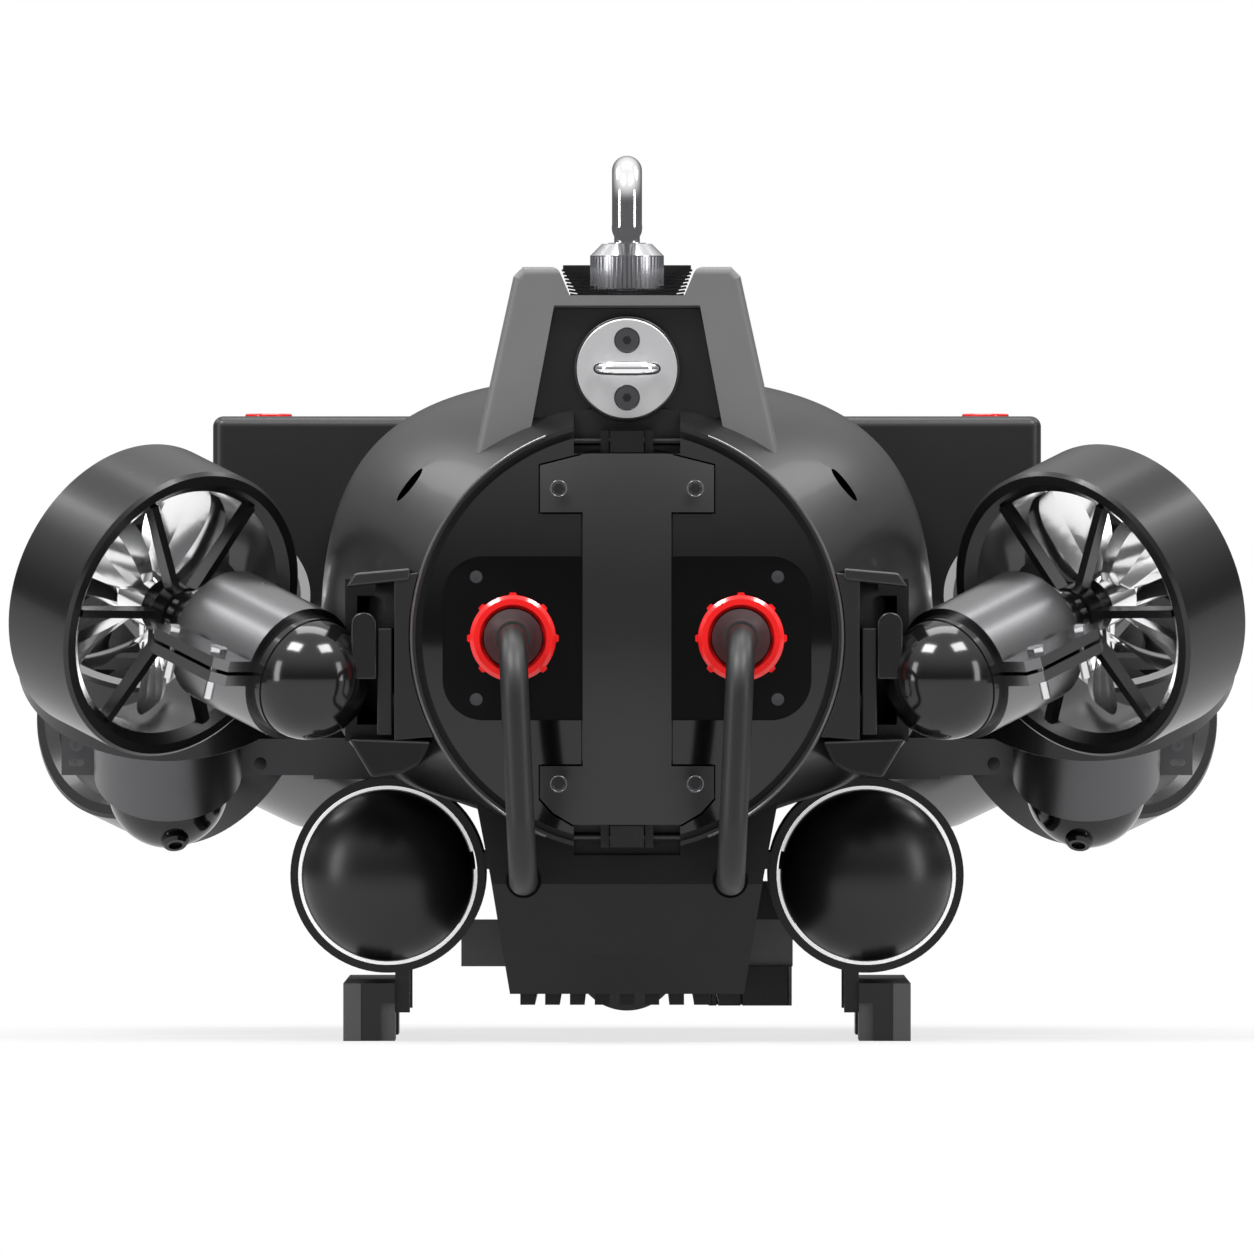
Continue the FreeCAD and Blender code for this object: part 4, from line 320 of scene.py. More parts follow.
def make_finishes(colours):
    """Every material of the vehicle, by its plain name."""
    moulded_skin()
    machined_skin()
    return {
        "hull": moulding("Satin Hull Moulding", colours.hull, 0.34, coat=0.1, bump=0.08),
        "keel": moulding("Keel Moulding", (0.004, 0.004, 0.0043), 0.36, specular=0.33, bump=0.1),
        "cap": moulding("Gloss Cap Moulding", (0.0022, 0.0022, 0.0024), 0.1, spread=0.04, grain=0.1,
                        rub=0.01, bump=0.02),
        "seal": moulding("Seal Rubber", (0.012, 0.012, 0.012), 0.5, grain=0.5),
        "strap": moulding("Strap Moulding", colours.strap, 0.34, bump=0.1, coat=0.05),
        "tower": moulding("Tower Moulding", colours.tower, 0.42, bump=0.12),
        "louvre": moulding("Louvre Moulding", (0.007, 0.007, 0.0075), 0.34),
        "anchor": metal("Anchor Plate", (0.74, 0.74, 0.75), 0.42, tarnish=0.05, lines=0.3,
                        scale=500.0),
        "chrome": metal("Polished Steel", (0.9, 0.9, 0.91), 0.11, tarnish=0.04, lines=0.05,
                        scale=200.0, scratches=0.03, bump=0.02),
        "blade": metal("Propeller Steel", (0.98, 0.98, 0.985), 0.14, tarnish=0.03, lines=0.08,
                       scale=240.0, scratches=0.03, bump=0.015),
        "ring": metal("Knurled Steel", (0.62, 0.62, 0.64), 0.2, tarnish=0.15),
        "screw": metal("Dark Screw", (0.16, 0.16, 0.17), 0.3, tarnish=0.1),
        "bolt": metal("Bright Bolt", (0.75, 0.75, 0.76), 0.18, tarnish=0.1),
        "collar": moulding("Lock Collar Moulding", colours.collar, 0.16, spread=0.05, drift=0.12,
                           rub=0.02, coat=0.4, bump=0.03),
        "relief": moulding("Strain Relief Rubber", (0.02, 0.021, 0.023), 0.45, drift=0.3),
        "lead": moulding("Lead Jacket", colours.lead, 0.46, spread=0.1, drift=0.3, rub=0.08),
        "duct": moulding("Duct Moulding", (0.008, 0.008, 0.0085), 0.25, spread=0.05, coat=0.08,
                         bump=0.03),
        "pod": moulding("Motor Pod Gloss", (0.006, 0.006, 0.0065), colours.gloss, spread=0.03,
                        grain=0.1, rub=0.01, coat=0.1, bump=0.015),
        "clamp": metal("Coated Clamp", colours.clamp, 0.24, tarnish=0.1, lines=0.1, scale=500.0),
        "bracket": moulding("Bracket Moulding", (0.005, 0.005, 0.0055), 0.27),
        "beam": metal("Coated Beam", (0.13, 0.13, 0.135), 0.34, lines=0.25, scale=420.0),
        "battery": moulding("Battery Pod Moulding", (0.011, 0.011, 0.012), 0.4),
        "lamp": moulding("Lamp Tube", (0.006, 0.006, 0.0065), 0.32, spread=0.04, rub=0.02,
                         bump=0.02),
        "skid": moulding("Skid Moulding", (0.012, 0.012, 0.013), 0.42),
        "weight": moulding("Ballast Casting", (0.11, 0.11, 0.115), 0.5, spread=0.2, grain=0.9,
                           scale=500.0, drift=0.5, rub=0.2, bump=0.3),
        "bar": metal("Tool Bar", (0.16, 0.16, 0.165), 0.36, lines=0.3, scale=400.0),
        "chassis": metal("Chassis Plate", (0.12, 0.12, 0.125), 0.35),
        "glass": clear_glass("Clear Dome"),
        "facing": moulding("Skid Facing", (0.11, 0.11, 0.112), 0.4, rub=0.1),
        # Lighter than the hull and strap it lies on: painted highlight for the thin bright lines
        # round the cap's edge and round the strap screws, on beads that also catch real
        # reflections.
        "edge": moulding("Painted Highlight Edge", (0.09, 0.09, 0.095), 0.16, rub=0.02, bump=0.02),
        # The glowing white bands in the lamp gaps: painted light.
        "liner": painted_gap_glow("Painted Gap Glow"),
        "liner_black": moulding("Black Liner", (0.005, 0.005, 0.0052), 0.36, rub=0.02, bump=0.04),
    }


NODE_FINISH = {
    "hull_shell": "hull", "rear_seal": "seal", "rear_cap": "cap", "cover_strap": "strap",
    "tower": "tower", "tower_grille": "louvre", "tether_anchor": "anchor",
    "anchor_staple": "chrome", "lift_stud": "ring", "knurled_ring": "ring", "shackle": "chrome",
    "latch_lever_top": "bracket", "latch_lever_bottom": "bracket", "latch_pins": "bracket",
    "connector_plugs": "relief", "lock_collar_port": "collar", "lock_collar_starboard": "collar",
    "leads": "lead", "keel": "keel", "lamp_port": "lamp", "lamp_starboard": "lamp",
    "lamp_lenses": "glass", "lamp_rings": "bracket", "skids": "skid", "ballast_weights": "weight",
    "battery_pod_port": "battery", "battery_pod_starboard": "battery", "vent_plug_port": "collar",
    "vent_plug_starboard": "collar", "dome_bezel": "cap", "front_dome": "glass",
    "thruster_clamps": "clamp", "clamp_bolts": "bolt", "thruster_brackets": "bracket",
    "side_beam_port": "beam", "side_beam_starboard": "beam", "socket_screws": "screw",
    "tool_bar": "bar", "sonar_head": "bracket", "keel_camera": "pod",
    "electronics_chassis": "chassis", "tilt_camera": "pod",
}
UNIT_FINISH = {"duct": "duct", "motor_pod": "pod", "propeller": "blade"}
FINISHES = {}


def dress(names):
    """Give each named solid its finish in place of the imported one."""
    for name in names:
        wanted = NODE_FINISH.get(name) or UNIT_FINISH[name.rsplit("_", 2)[0]]
        mesh = NODES[name].data
        if not mesh.materials:
            mesh.materials.append(FINISHES[wanted])
        for index in range(len(mesh.materials)):
            mesh.materials[index] = FINISHES[wanted]


class VEHICLE_OT_finishes(bpy.types.Operator):
    """Make the vehicle's finishes from the panel's colours."""
    bl_idname = "vehicle.finishes"
    bl_label = "Finishes"

    def execute(self, context):
        FINISHES.update(make_finishes(context.scene.vehicle_finishes))
        return {"FINISHED"}


class VEHICLE_OT_dress_hull(bpy.types.Operator):
    """Dress the hull, its stern cap, tower, keel and fittings."""
    bl_idname = "vehicle.dress_hull"
    bl_label = "Dress hull and fittings"

    def execute(self, context):
        dress(sorted(NODE_FINISH))
        return {"FINISHED"}


class VEHICLE_OT_dress_thrusters(bpy.types.Operator):
    """Dress the six ducts, motor pods and propellers."""
    bl_idname = "vehicle.dress_thrusters"
    bl_label = "Dress thrusters"

    def execute(self, context):
        dress("%s_%s_%s" % (part, unit, side) for part in UNIT_FINISH for unit in UNITS
              for side, sign in SIDES)
        return {"FINISHED"}


# Mesh helpers. Every finished piece has its place in its mesh, and its object at the origin.

SHARP_FROM = math.radians(35.0)
BEVEL_FROM = math.radians(30.0)
TURN_STEPS = 96
SAME_PLACE = 1e-6
ON_AXIS = 1e-7


def finished(name, mesh, finish, replaced=(), bevel=0.0):
    """Link a mesh as a finished piece on the vehicle's body, and hide the solids it replaces."""
    piece = bpy.data.objects.new(name, mesh)
    bpy.context.scene.collection.objects.link(piece)
    mesh.shade_smooth()
    mesh.set_sharp_from_angle(angle=SHARP_FROM)
    mesh.materials.clear()
    mesh.materials.append(FINISHES[finish])
    if bevel:
        soften = piece.modifiers.new("Soft edges", "BEVEL")
        soften.width = bevel
        soften.segments = 3
        soften.limit_method = "ANGLE"
        soften.angle_limit = BEVEL_FROM
        soften.harden_normals = True
    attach(piece, BASE)
    if replaced:
        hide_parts(*replaced)


def mesh_of(name, work):
    """A mesh from a bmesh whose doubles are merged and whose faces point outwards."""
    bmesh.ops.remove_doubles(work, verts=work.verts, dist=SAME_PLACE)
    bmesh.ops.recalc_face_normals(work, faces=work.faces)
    mesh = bpy.data.meshes.new(name)
    work.to_mesh(mesh)
    work.free()
    return mesh


def turned(name, profile, centre, along):
    """A solid of revolution: (radius, height) pairs spun round an axis that leaves the centre."""
    work = bmesh.new()
    place = Vector(along).to_track_quat("Z", "Y").to_matrix().to_4x4()
    place.translation = Vector(centre)
    rows = []
    for radius, height in profile:
        count = TURN_STEPS if radius > ON_AXIS else 1
        turns = [2.0 * math.pi * step / TURN_STEPS for step in range(count)]
        spots = [(radius * math.cos(turn), radius * math.sin(turn), height) for turn in turns]
        rows.append([work.verts.new(place @ Vector(spot)) for spot in spots])
    for low, high in zip(rows, rows[1:]):
        for step in range(TURN_STEPS):
            ring = [low[step % len(low)], low[(step + 1) % len(low)],
                    high[(step + 1) % len(high)], high[step % len(high)]]
            corners = list(dict.fromkeys(ring))
            if len(corners) > 2:
                work.faces.new(corners)
    return mesh_of(name, work)


def plate(name, corners, stern, bow):
    """A plate: (x, z) corners run out along Y from its stern face to its bow face."""
    work = bmesh.new()
    front = [work.verts.new((x, stern, z)) for x, z in corners]
    back = [work.verts.new((x, bow, z)) for x, z in corners]
    work.faces.new(front)
    work.faces.new(list(reversed(back)))
    for index in range(len(corners)):
        after = (index + 1) % len(corners)
        work.faces.new((front[index], back[index], back[after], front[after]))
    return mesh_of(name, work)


def arc(centre_x, centre_z, radius, start, end, steps):
    """Points on an arc in the plane across the hull, from one angle to another in degrees."""
    turns = [math.radians(start + (end - start) * step / steps) for step in range(steps + 1)]
    return [(centre_x + radius * math.cos(turn), centre_z + radius * math.sin(turn))
            for turn in turns]


# Geometry Nodes.

BEAD_SIDES = 10
SOCKET_SIDES = 6
SLAT_STEPS = 24


def nodes_tree(name, numbers):
    """An empty geometry tree with its named number inputs and a material."""
    tree = bpy.data.node_groups.new(name, "GeometryNodeTree")
    tree.interface.new_socket("Geometry", in_out="OUTPUT", socket_type="NodeSocketGeometry")
    tree.interface.new_socket("Geometry", in_out="INPUT", socket_type="NodeSocketGeometry")
    for label, kind, default in numbers:
        socket = tree.interface.new_socket(label, in_out="INPUT", socket_type=kind)
        socket.default_value = default
    tree.interface.new_socket("Material", in_out="INPUT", socket_type="NodeSocketMaterial")
    return tree, tree.nodes.new("NodeGroupInput"), tree.nodes.new("NodeGroupOutput")


def on_points(tree, given, shape):
    """Put a shape on each point of the input, its Z along the point's own axis."""
    axis = tree.nodes.new("GeometryNodeInputNamedAttribute")
    axis.data_type = "FLOAT_VECTOR"
    axis.inputs["Name"].default_value = "axis"
    turn = tree.nodes.new("FunctionNodeAlignRotationToVector")
    turn.axis = "Z"
    tree.links.new(axis.outputs["Attribute"], turn.inputs["Vector"])
    spread = tree.nodes.new("GeometryNodeInstanceOnPoints")
    tree.links.new(given.outputs["Geometry"], spread.inputs["Points"])
    tree.links.new(shape, spread.inputs["Instance"])
    tree.links.new(turn.outputs[0], spread.inputs["Rotation"])
    return spread.outputs["Instances"]


def close_tree(tree, given, shape, out):
    """End a tree in Realize Instances and Set Material."""
    real = tree.nodes.new("GeometryNodeRealizeInstances")
    tree.links.new(shape, real.inputs[0])
    paint = tree.nodes.new("GeometryNodeSetMaterial")
    tree.links.new(real.outputs[0], paint.inputs["Geometry"])
    tree.links.new(given.outputs["Material"], paint.inputs["Material"])
    tree.links.new(paint.outputs[0], out.inputs["Geometry"])


def bead_tree(name, part_turn=False):
    """A round bead bent to a ring on each point, or to a part of one."""
    numbers = [("Ring Radius", "NodeSocketFloat", 0.01),
               ("Bead Radius", "NodeSocketFloat", 0.0005),
               ("Ring Steps", "NodeSocketInt", 96)]
    turns = ("Start Angle", "Sweep Angle") if part_turn else ()
    numbers += [(label, "NodeSocketFloat", 1.0) for label in turns]
    tree, given, out = nodes_tree(name, numbers)
    ring = tree.nodes.new("GeometryNodeCurveArc" if part_turn
                          else "GeometryNodeCurvePrimitiveCircle")
    for label in turns:
        tree.links.new(given.outputs[label], ring.inputs[label])
    tree.links.new(given.outputs["Ring Radius"], ring.inputs["Radius"])
    tree.links.new(given.outputs["Ring Steps"], ring.inputs["Resolution"])
    bead = tree.nodes.new("GeometryNodeCurvePrimitiveCircle")
    bead.inputs["Resolution"].default_value = BEAD_SIDES
    tree.links.new(given.outputs["Bead Radius"], bead.inputs["Radius"])
    sweep = tree.nodes.new("GeometryNodeCurveToMesh")
    sweep.inputs["Fill Caps"].default_value = part_turn
    tree.links.new(ring.outputs[0], sweep.inputs[0])
    tree.links.new(bead.outputs[0], sweep.inputs[1])
    close_tree(tree, given, on_points(tree, given, sweep.outputs[0]), out)
    return tree


def painted_shade_pits_tree():
    """A dark hexagonal disc on each point: painted shade that stands in for the shaded socket of a
    screw.
    """
    tree, given, out = nodes_tree("Socket Pits", [
        ("Pit Radius", "NodeSocketFloat", 0.002),
        ("Pit Depth", "NodeSocketFloat", 0.0002)])
    pit = tree.nodes.new("GeometryNodeMeshCylinder")
    pit.inputs["Vertices"].default_value = SOCKET_SIDES
    tree.links.new(given.outputs["Pit Radius"], pit.inputs["Radius"])
    tree.links.new(given.outputs["Pit Depth"], pit.inputs["Depth"])
    close_tree(tree, given, on_points(tree, given, pit.outputs["Mesh"]), out)
    return tree


def sagging_slats_tree():
    """A stack of slats that climb and recede, each sagging in its middle."""
    tree, given, out = nodes_tree("Sagging Slats", [
        ("Count", "NodeSocketInt", 7),
        ("Half Width", "NodeSocketFloat", 0.026),
        ("Sag", "NodeSocketFloat", 0.003),
        ("Step", "NodeSocketVector", (0.0, 0.01, 0.0016)),
        ("Thickness", "NodeSocketFloat", 0.001),
        ("Depth", "NodeSocketFloat", 0.005),
        ("Widen", "NodeSocketFloat", 0.02)])
    line = tree.nodes.new("GeometryNodeMeshLine")
    line.mode = "OFFSET"
    tree.links.new(given.outputs["Count"], line.inputs["Count"])
    tree.links.new(given.outputs["Step"], line.inputs["Offset"])
    bend = tree.nodes.new("GeometryNodeCurveQuadraticBezier")
    bend.inputs["Resolution"].default_value = SLAT_STEPS
    for socket, side in (("Start", -1.0), ("End", 1.0)):
        end = tree.nodes.new("ShaderNodeCombineXYZ")
        reach = math_node(tree, "MULTIPLY", given.outputs["Half Width"], side)
        tree.links.new(reach, end.inputs["X"])
        tree.links.new(end.outputs[0], bend.inputs[socket])
    low = tree.nodes.new("ShaderNodeCombineXYZ")
    drop = math_node(tree, "MULTIPLY", given.outputs["Sag"], -2.0)
    tree.links.new(drop, low.inputs["Z"])
    tree.links.new(low.outputs[0], bend.inputs["Middle"])
    blade = tree.nodes.new("GeometryNodeCurvePrimitiveQuadrilateral")
    tree.links.new(given.outputs["Thickness"], blade.inputs["Height"])
    tree.links.new(given.outputs["Depth"], blade.inputs["Width"])
    sweep = tree.nodes.new("GeometryNodeCurveToMesh")
    sweep.inputs["Fill Caps"].default_value = True
    tree.links.new(bend.outputs[0], sweep.inputs[0])
    tree.links.new(blade.outputs[0], sweep.inputs[1])
    spread = tree.nodes.new("GeometryNodeInstanceOnPoints")
    tree.links.new(line.outputs[0], spread.inputs["Points"])
    tree.links.new(sweep.outputs[0], spread.inputs["Instance"])
    index = tree.nodes.new("GeometryNodeInputIndex")
    widen = math_node(tree, "MULTIPLY", index.outputs[0], given.outputs["Widen"])
    size = tree.nodes.new("ShaderNodeCombineXYZ")
    size.inputs["Y"].default_value = 1.0
    size.inputs["Z"].default_value = 1.0
    tree.links.new(math_node(tree, "ADD", widen, 1.0), size.inputs["X"])
    tree.links.new(size.outputs[0], spread.inputs["Scale"])
    close_tree(tree, given, spread.outputs[0], out)
    return tree


def grown(name, tree, points, values, finish, origin=ORIGIN):
    """Run a geometry tree over (place, axis) points, and keep its mesh as a finished piece."""
    seed = bpy.data.meshes.new(name + "_points")
    seed.from_pydata([place for place, axis in points], [], [])
    axes = seed.attributes.new("axis", "FLOAT_VECTOR", "POINT")
    for index, (place, axis) in enumerate(points):
        axes.data[index].vector = axis
    holder = bpy.data.objects.new(name + "_seed", seed)
    bpy.context.scene.collection.objects.link(holder)
    grower = holder.modifiers.new("Grow", "NODES")
    grower.node_group = tree
    for item in tree.interface.items_tree:
        if item.item_type == "SOCKET" and item.in_out == "INPUT" and item.name in values:
            grower[item.identifier] = values[item.name]
        if item.item_type == "SOCKET" and item.socket_type == "NodeSocketMaterial":
            grower[item.identifier] = FINISHES[finish]
    graph = bpy.context.evaluated_depsgraph_get()
    mesh = bpy.data.meshes.new_from_object(holder.evaluated_get(graph), depsgraph=graph)
    bpy.data.objects.remove(holder)
    mesh.name = name
    mesh.transform(Matrix.Translation(origin))
    finished(name, mesh, finish)


# Places that the pieces below are set from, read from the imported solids.

STERN_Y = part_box("hull_shell")[0].y
HULL_Z = sum(corner.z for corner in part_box("rear_cap")) / 2.0
TOWER_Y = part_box("tower")[0].y
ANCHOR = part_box("tether_anchor")
ANCHOR_Z = (ANCHOR[0].z + ANCHOR[1].z) / 2.0
STRAP_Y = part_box("cover_strap")[0].y

# Sizes of the fine pieces. Those of plates are (x, z) corners in a plane across the hull.

LAMP_DOME_LONG = 0.027
LAMP_DOME_STEPS = 24
# Turns and steps of the glowing gap bands of painted light round the lamp tubes.
GAP_GLOW_TURNS = {"port": (16.0, 364.0), "starboard": (176.0, 524.0)}
GAP_GLOW_STEPS = 96
FACING_WIDE = 7.5 * MM
FACING_FOOT = 0.0002
FINE_EDGE = 0.0002

RECESS_MM = ((-30.2, 307.2), (-43.6, 262.5), (-24.0, 258.6),
             (24.0, 258.6), (43.6, 262.5), (30.2, 307.2))
LOUVRE_BACK_MM = ((-20.0, 312.8), (20.0, 312.8), (27.0, 324.5),
                  (27.0, 326.4), (-27.0, 326.4), (-27.0, 324.5))
LOUVRE_FOOT_Z = 0.3132
LOUVRE = {"Count": 8, "Half Width": 0.0238, "Sag": 0.0019, "Step": (0.0, 0.0095, 0.00155),
          "Thickness": 0.0009, "Depth": 0.007, "Widen": 0.022}

EAR_RADIUS, EAR_TURNS, EAR_STEPS = 0.0911, (163.0, 207.5), 20
EAR_OUT, EAR_UP, EAR_DOWN = -0.0972, 0.0252, 0.0435
SHELF = ((-0.1175, 0.1905), (-0.1135, 0.1965), (-0.0905, 0.1985), (-0.0905, 0.1935))
FIN = ((-0.1165, 0.1275), (-0.0815, 0.1262), (-0.0862, 0.1165),
       (-0.0935, 0.1128), (-0.1065, 0.1108))
LUG_FOOT, LUG_MIDDLE, LUG_RADIUS, LUG_STEPS = 0.152, (-0.1099, 0.1748), 0.0053, 14
LUG_SIDES = (-0.1152, -0.1046)
RIB = ((-0.1045, 0.1285), (-0.098, 0.1285), (-0.098, 0.1735), (-0.1045, 0.1735))

STRAP_SCREWS_MM = [(x, z) for x in (-28.5, 28.5) for z in (-61.6, 61.6)]
ANCHOR_SCREWS_MM = (-12.0, 12.0)
CAP_BEAD_RADIUS, CAP_BEAD_STEPS = 0.0902, 90
CAP_BEAD_TURN = math.radians(136.0)
CAP_BEAD_MIDDLES = {"port": math.pi, "starboard": 0.0}
STRAP_RIM = {"Ring Radius": 0.0033, "Bead Radius": 0.0003, "Ring Steps": 32}
# Dark discs over the socket screws: painted shade for their shaded sockets.
STRAP_SHADE_PIT = {"Pit Radius": 0.0023, "Pit Depth": 0.0003}
ANCHOR_RIM = {"Ring Radius": 0.00515, "Bead Radius": 0.00028, "Ring Steps": 40}
ANCHOR_SHADE_PIT = {"Pit Radius": 0.0019, "Pit Depth": 0.0003}
ANCHOR_EDGE = {"Ring Radius": 0.0214, "Bead Radius": 0.0006, "Ring Steps": 96}


class VEHICLE_OT_lamps(bpy.types.Operator):
    """Turn the lamp tubes with their domes, lay their glowing gap bands of painted light, and face
    the skids' stern ends.
    """
    bl_idname = "vehicle.lamps"
    bl_label = "Lamps and skid facings"

    def tube(self, side, centre, radius, long):
        """One lamp tube: a smooth dome astern, and a stepped recess at the bow end."""
        turns = [math.radians(90.0 * step / LAMP_DOME_STEPS) for step in range(LAMP_DOME_STEPS + 1)]
        profile = [(radius * math.sin(turn), LAMP_DOME_LONG * (1.0 - math.cos(turn)))
                   for turn in turns]
        profile += [(radius, long - 16.0 * MM), (radius - 2.0 * MM, long - 14.0 * MM),
                    (radius - 2.0 * MM, long), (radius - 6.0 * MM, long),
                    (radius - 9.0 * MM, long - 10.0 * MM), (0.0, long - 10.0 * MM)]
        name = "lamp_tube_" + side
        finished(name, turned(name, profile, centre, FORE), "lamp",
                 replaced=("lamp_" + side,))

    def liner(self, side, centre, radius):
        """A glowing white band round one tube: painted light in the gap, open where its ring is
        split.
        """
        name = "lamp_gap_glow_" + side
        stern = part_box("lamp_rings")[0].y
        start, end = GAP_GLOW_TURNS[side]
        outer = arc(centre[0], centre[2], radius + 1.55 * MM, start, end, GAP_GLOW_STEPS)
        inner = arc(centre[0], centre[2], radius + 0.2 * MM, start, end, GAP_GLOW_STEPS)
        band = outer + inner[::-1]
        finished(name, plate(name, band, stern - 0.3 * MM, stern + 3.0 * MM), "liner")

    def facing(self, side, sign):
        """The lighter facing on the stern end of one skid."""
        name = "skid_facing_" + side
        low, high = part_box("skids")
        inner, outer = sign * (high.x - FACING_WIDE), sign * high.x
        strip = [(inner, FACING_FOOT), (outer, FACING_FOOT), (outer, high.z), (inner, high.z)]
        finished(name, plate(name, strip, low.y - 0.4 * MM, low.y + 2.0 * MM),
                 "facing", bevel=FINE_EDGE)

    def execute(self, context):
        for side, sign in SIDES:
            low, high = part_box("lamp_" + side)
            radius = (high.x - low.x) / 2.0
            centre = ((low.x + high.x) / 2.0, low.y, (low.z + high.z) / 2.0)
            self.tube(side, centre, radius, high.y - low.y)
            self.liner(side, centre, radius)
            self.facing(side, sign)
        return {"FINISHED"}


class VEHICLE_OT_tower_parts(bpy.types.Operator):
    """Line the tower's recess, and build its sagging louvre."""
    bl_idname = "vehicle.tower_parts"
    bl_label = "Tower recess and louvre"

    def execute(self, context):
        recess = TOWER_Y + 6.0 * MM
        face = [(x * MM, z * MM) for x, z in RECESS_MM]
        finished("tower_recess_liner", plate("tower_recess_liner", face, recess, recess + 0.9 * MM),
                 "liner_black", bevel=FINE_EDGE)
        grown("tower_louvre", sagging_slats_tree(), [(ORIGIN, UP)], LOUVRE,
              "louvre", origin=(0.0, TOWER_Y + 14.0 * MM, LOUVRE_FOOT_Z))
        back = [(x * MM, z * MM) for x, z in LOUVRE_BACK_MM]
        finished("tower_louvre_back",
                 plate("tower_louvre_back", back, TOWER_Y + 91.0 * MM, TOWER_Y + 97.0 * MM),
                 "louvre", replaced=("tower_grille",), bevel=0.0003)
        return {"FINISHED"}


class VEHICLE_OT_side_brackets(bpy.types.Operator):
    """Build the ear plate, shelf, fin, lug and rib of each side bracket."""
    bl_idname = "vehicle.side_brackets"
    bl_label = "Side brackets"

    def execute(self, context):
        ear = [(EAR_OUT, HULL_Z + EAR_UP)] + arc(0.0, HULL_Z, EAR_RADIUS, *EAR_TURNS, EAR_STEPS)
        ear += [(EAR_OUT, HULL_Z - EAR_DOWN)]
        lug = [(LUG_SIDES[0], LUG_FOOT)] + arc(*LUG_MIDDLE, LUG_RADIUS, 180.0, 0.0, LUG_STEPS)
        lug += [(LUG_SIDES[1], LUG_FOOT)]
        # Name, corners on one side, stern and bow faces from the hull's stern in mm, finish, bevel.
        parts = (("ear_plate", ear, -1.2, 14.0, "strap", 0.0005),
                 ("shelf", SHELF, -2.0, 34.0, "hull", 0.0012),
                 ("fin", FIN, -2.0, 40.0, "keel", 0.0016),
                 ("lug", lug, -2.6, 9.0, "bracket", 0.0009),
                 ("rib", RIB, 1.5, 18.0, "strap", 0.0008))
        for side, sign in SIDES:
            for part, corners, stern, bow, finish, soft in parts:
                name = "bracket_%s_%s" % (part, side)
                outline = [(-sign * x, z) for x, z in corners]
                finished(name, plate(name, outline, STERN_Y + stern * MM, STERN_Y + bow * MM),
                         finish, bevel=soft)
        return {"FINISHED"}


class VEHICLE_OT_fine_rings(bpy.types.Operator):
    """Lay the beads that edge the cap, the anchor and the screws, and the screws' pits: the lighter
    beads round the cap and strap screws are painted highlight, and the dark pits are painted shade.
    """
    bl_idname = "vehicle.fine_rings"
    bl_label = "Fine rings"

    def execute(self, context):
        beads = bead_tree("Bead Rings")
        arcs = bead_tree("Bead Arcs", True)
        pits = painted_shade_pits_tree()
        # The cap's edge bead takes the lighter edge finish: a painted highlight line, on a bead
        # that also catches real reflections.
        cap = [((0.0, STERN_Y - 0.2 * MM, HULL_Z), AFT)]
        values = {"Ring Radius": CAP_BEAD_RADIUS, "Ring Steps": CAP_BEAD_STEPS,
                  "Bead Radius": context.scene.vehicle_fine_pieces.bead,
                  "Sweep Angle": CAP_BEAD_TURN}
        for side, middle in CAP_BEAD_MIDDLES.items():
            values["Start Angle"] = middle - CAP_BEAD_TURN / 2
            grown("cap_edge_bead_" + side, arcs, cap, values, "edge")
        face = STRAP_Y - 0.05 * MM
        strap = [((x * MM, face, HULL_Z + z * MM), AFT) for x, z in STRAP_SCREWS_MM]
        # The strap screws' rims take the lighter edge finish: painted highlight.
        grown("strap_screw_rims", beads, strap, STRAP_RIM, "edge")
        # Dark discs over the strap screws' sockets: painted shade.
        grown("strap_screw_shade_pits", pits, strap, STRAP_SHADE_PIT, "liner_black")
        face = ANCHOR[0].y - 0.02 * MM
        bolts = [((0.0, face, ANCHOR_Z + up * MM), AFT) for up in ANCHOR_SCREWS_MM]
        grown("anchor_screw_rims", beads, bolts, ANCHOR_RIM, "liner_black")
        # Dark discs over the anchor screws' sockets: painted shade.
        grown("anchor_screw_shade_pits", pits, bolts, ANCHOR_SHADE_PIT, "liner_black")
        edge = [((0.0, ANCHOR[0].y + 1.6 * MM, ANCHOR_Z), AFT)]
        grown("anchor_edge_bead", beads, edge, ANCHOR_EDGE, "liner_black")
        return {"FINISHED"}


# The stage.

THRUSTER_PLANE = -0.15
SENSOR_WIDE = 36.0
CLIP_END = 100.0
AIMED_AT = (0.0, 0.0, 0.16)
# Name, place, width and height in metres, and power in watts.
STUDIO_LAMPS = (
    ("port_key_lamp", (-0.75, -0.9, 1.7), 0.7, 0.5, 24.0),
    ("starboard_key_lamp", (0.75, -0.9, 1.7), 0.7, 0.5, 20.0),
    ("top_lamp", (0.0, 0.3, 2.0), 1.2, 0.7, 14.0),
    ("port_strip_lamp", (-2.1, -1.3, 0.6), 0.45, 1.4, 13.0),
    ("starboard_strip_lamp", (2.1, -1.3, 0.6), 0.45, 1.4, 11.0),
    ("port_back_lamp", (-1.5, 0.5, 1.7), 0.9, 0.6, 9.0),
    ("starboard_back_lamp", (1.5, 0.5, 1.7), 0.9, 0.6, 8.0))

# The sky's colours, from its horizon up.
HORIZON_AT, HORIZON_COLOUR = 0.5, (0.1, 0.1, 0.103, 1.0)
ZENITH_AT = 0.9

FLOOR_HALF = 4.0
# Distances from the vehicle's middle in metres, and the values between which each one runs.
FLOOR_WHITENS = (0.25, 0.45, 0.76, 1.0)
# The floor's own colour runs darker farther out: a painted fall-off of light round the vehicle.
FLOOR_PAINTED_FALLOFF = (0.5, 1.8, 0.62, 0.05)
# How much of its white the floor shows to mirrored rays.
FLOOR_MIRRORED = 0.85


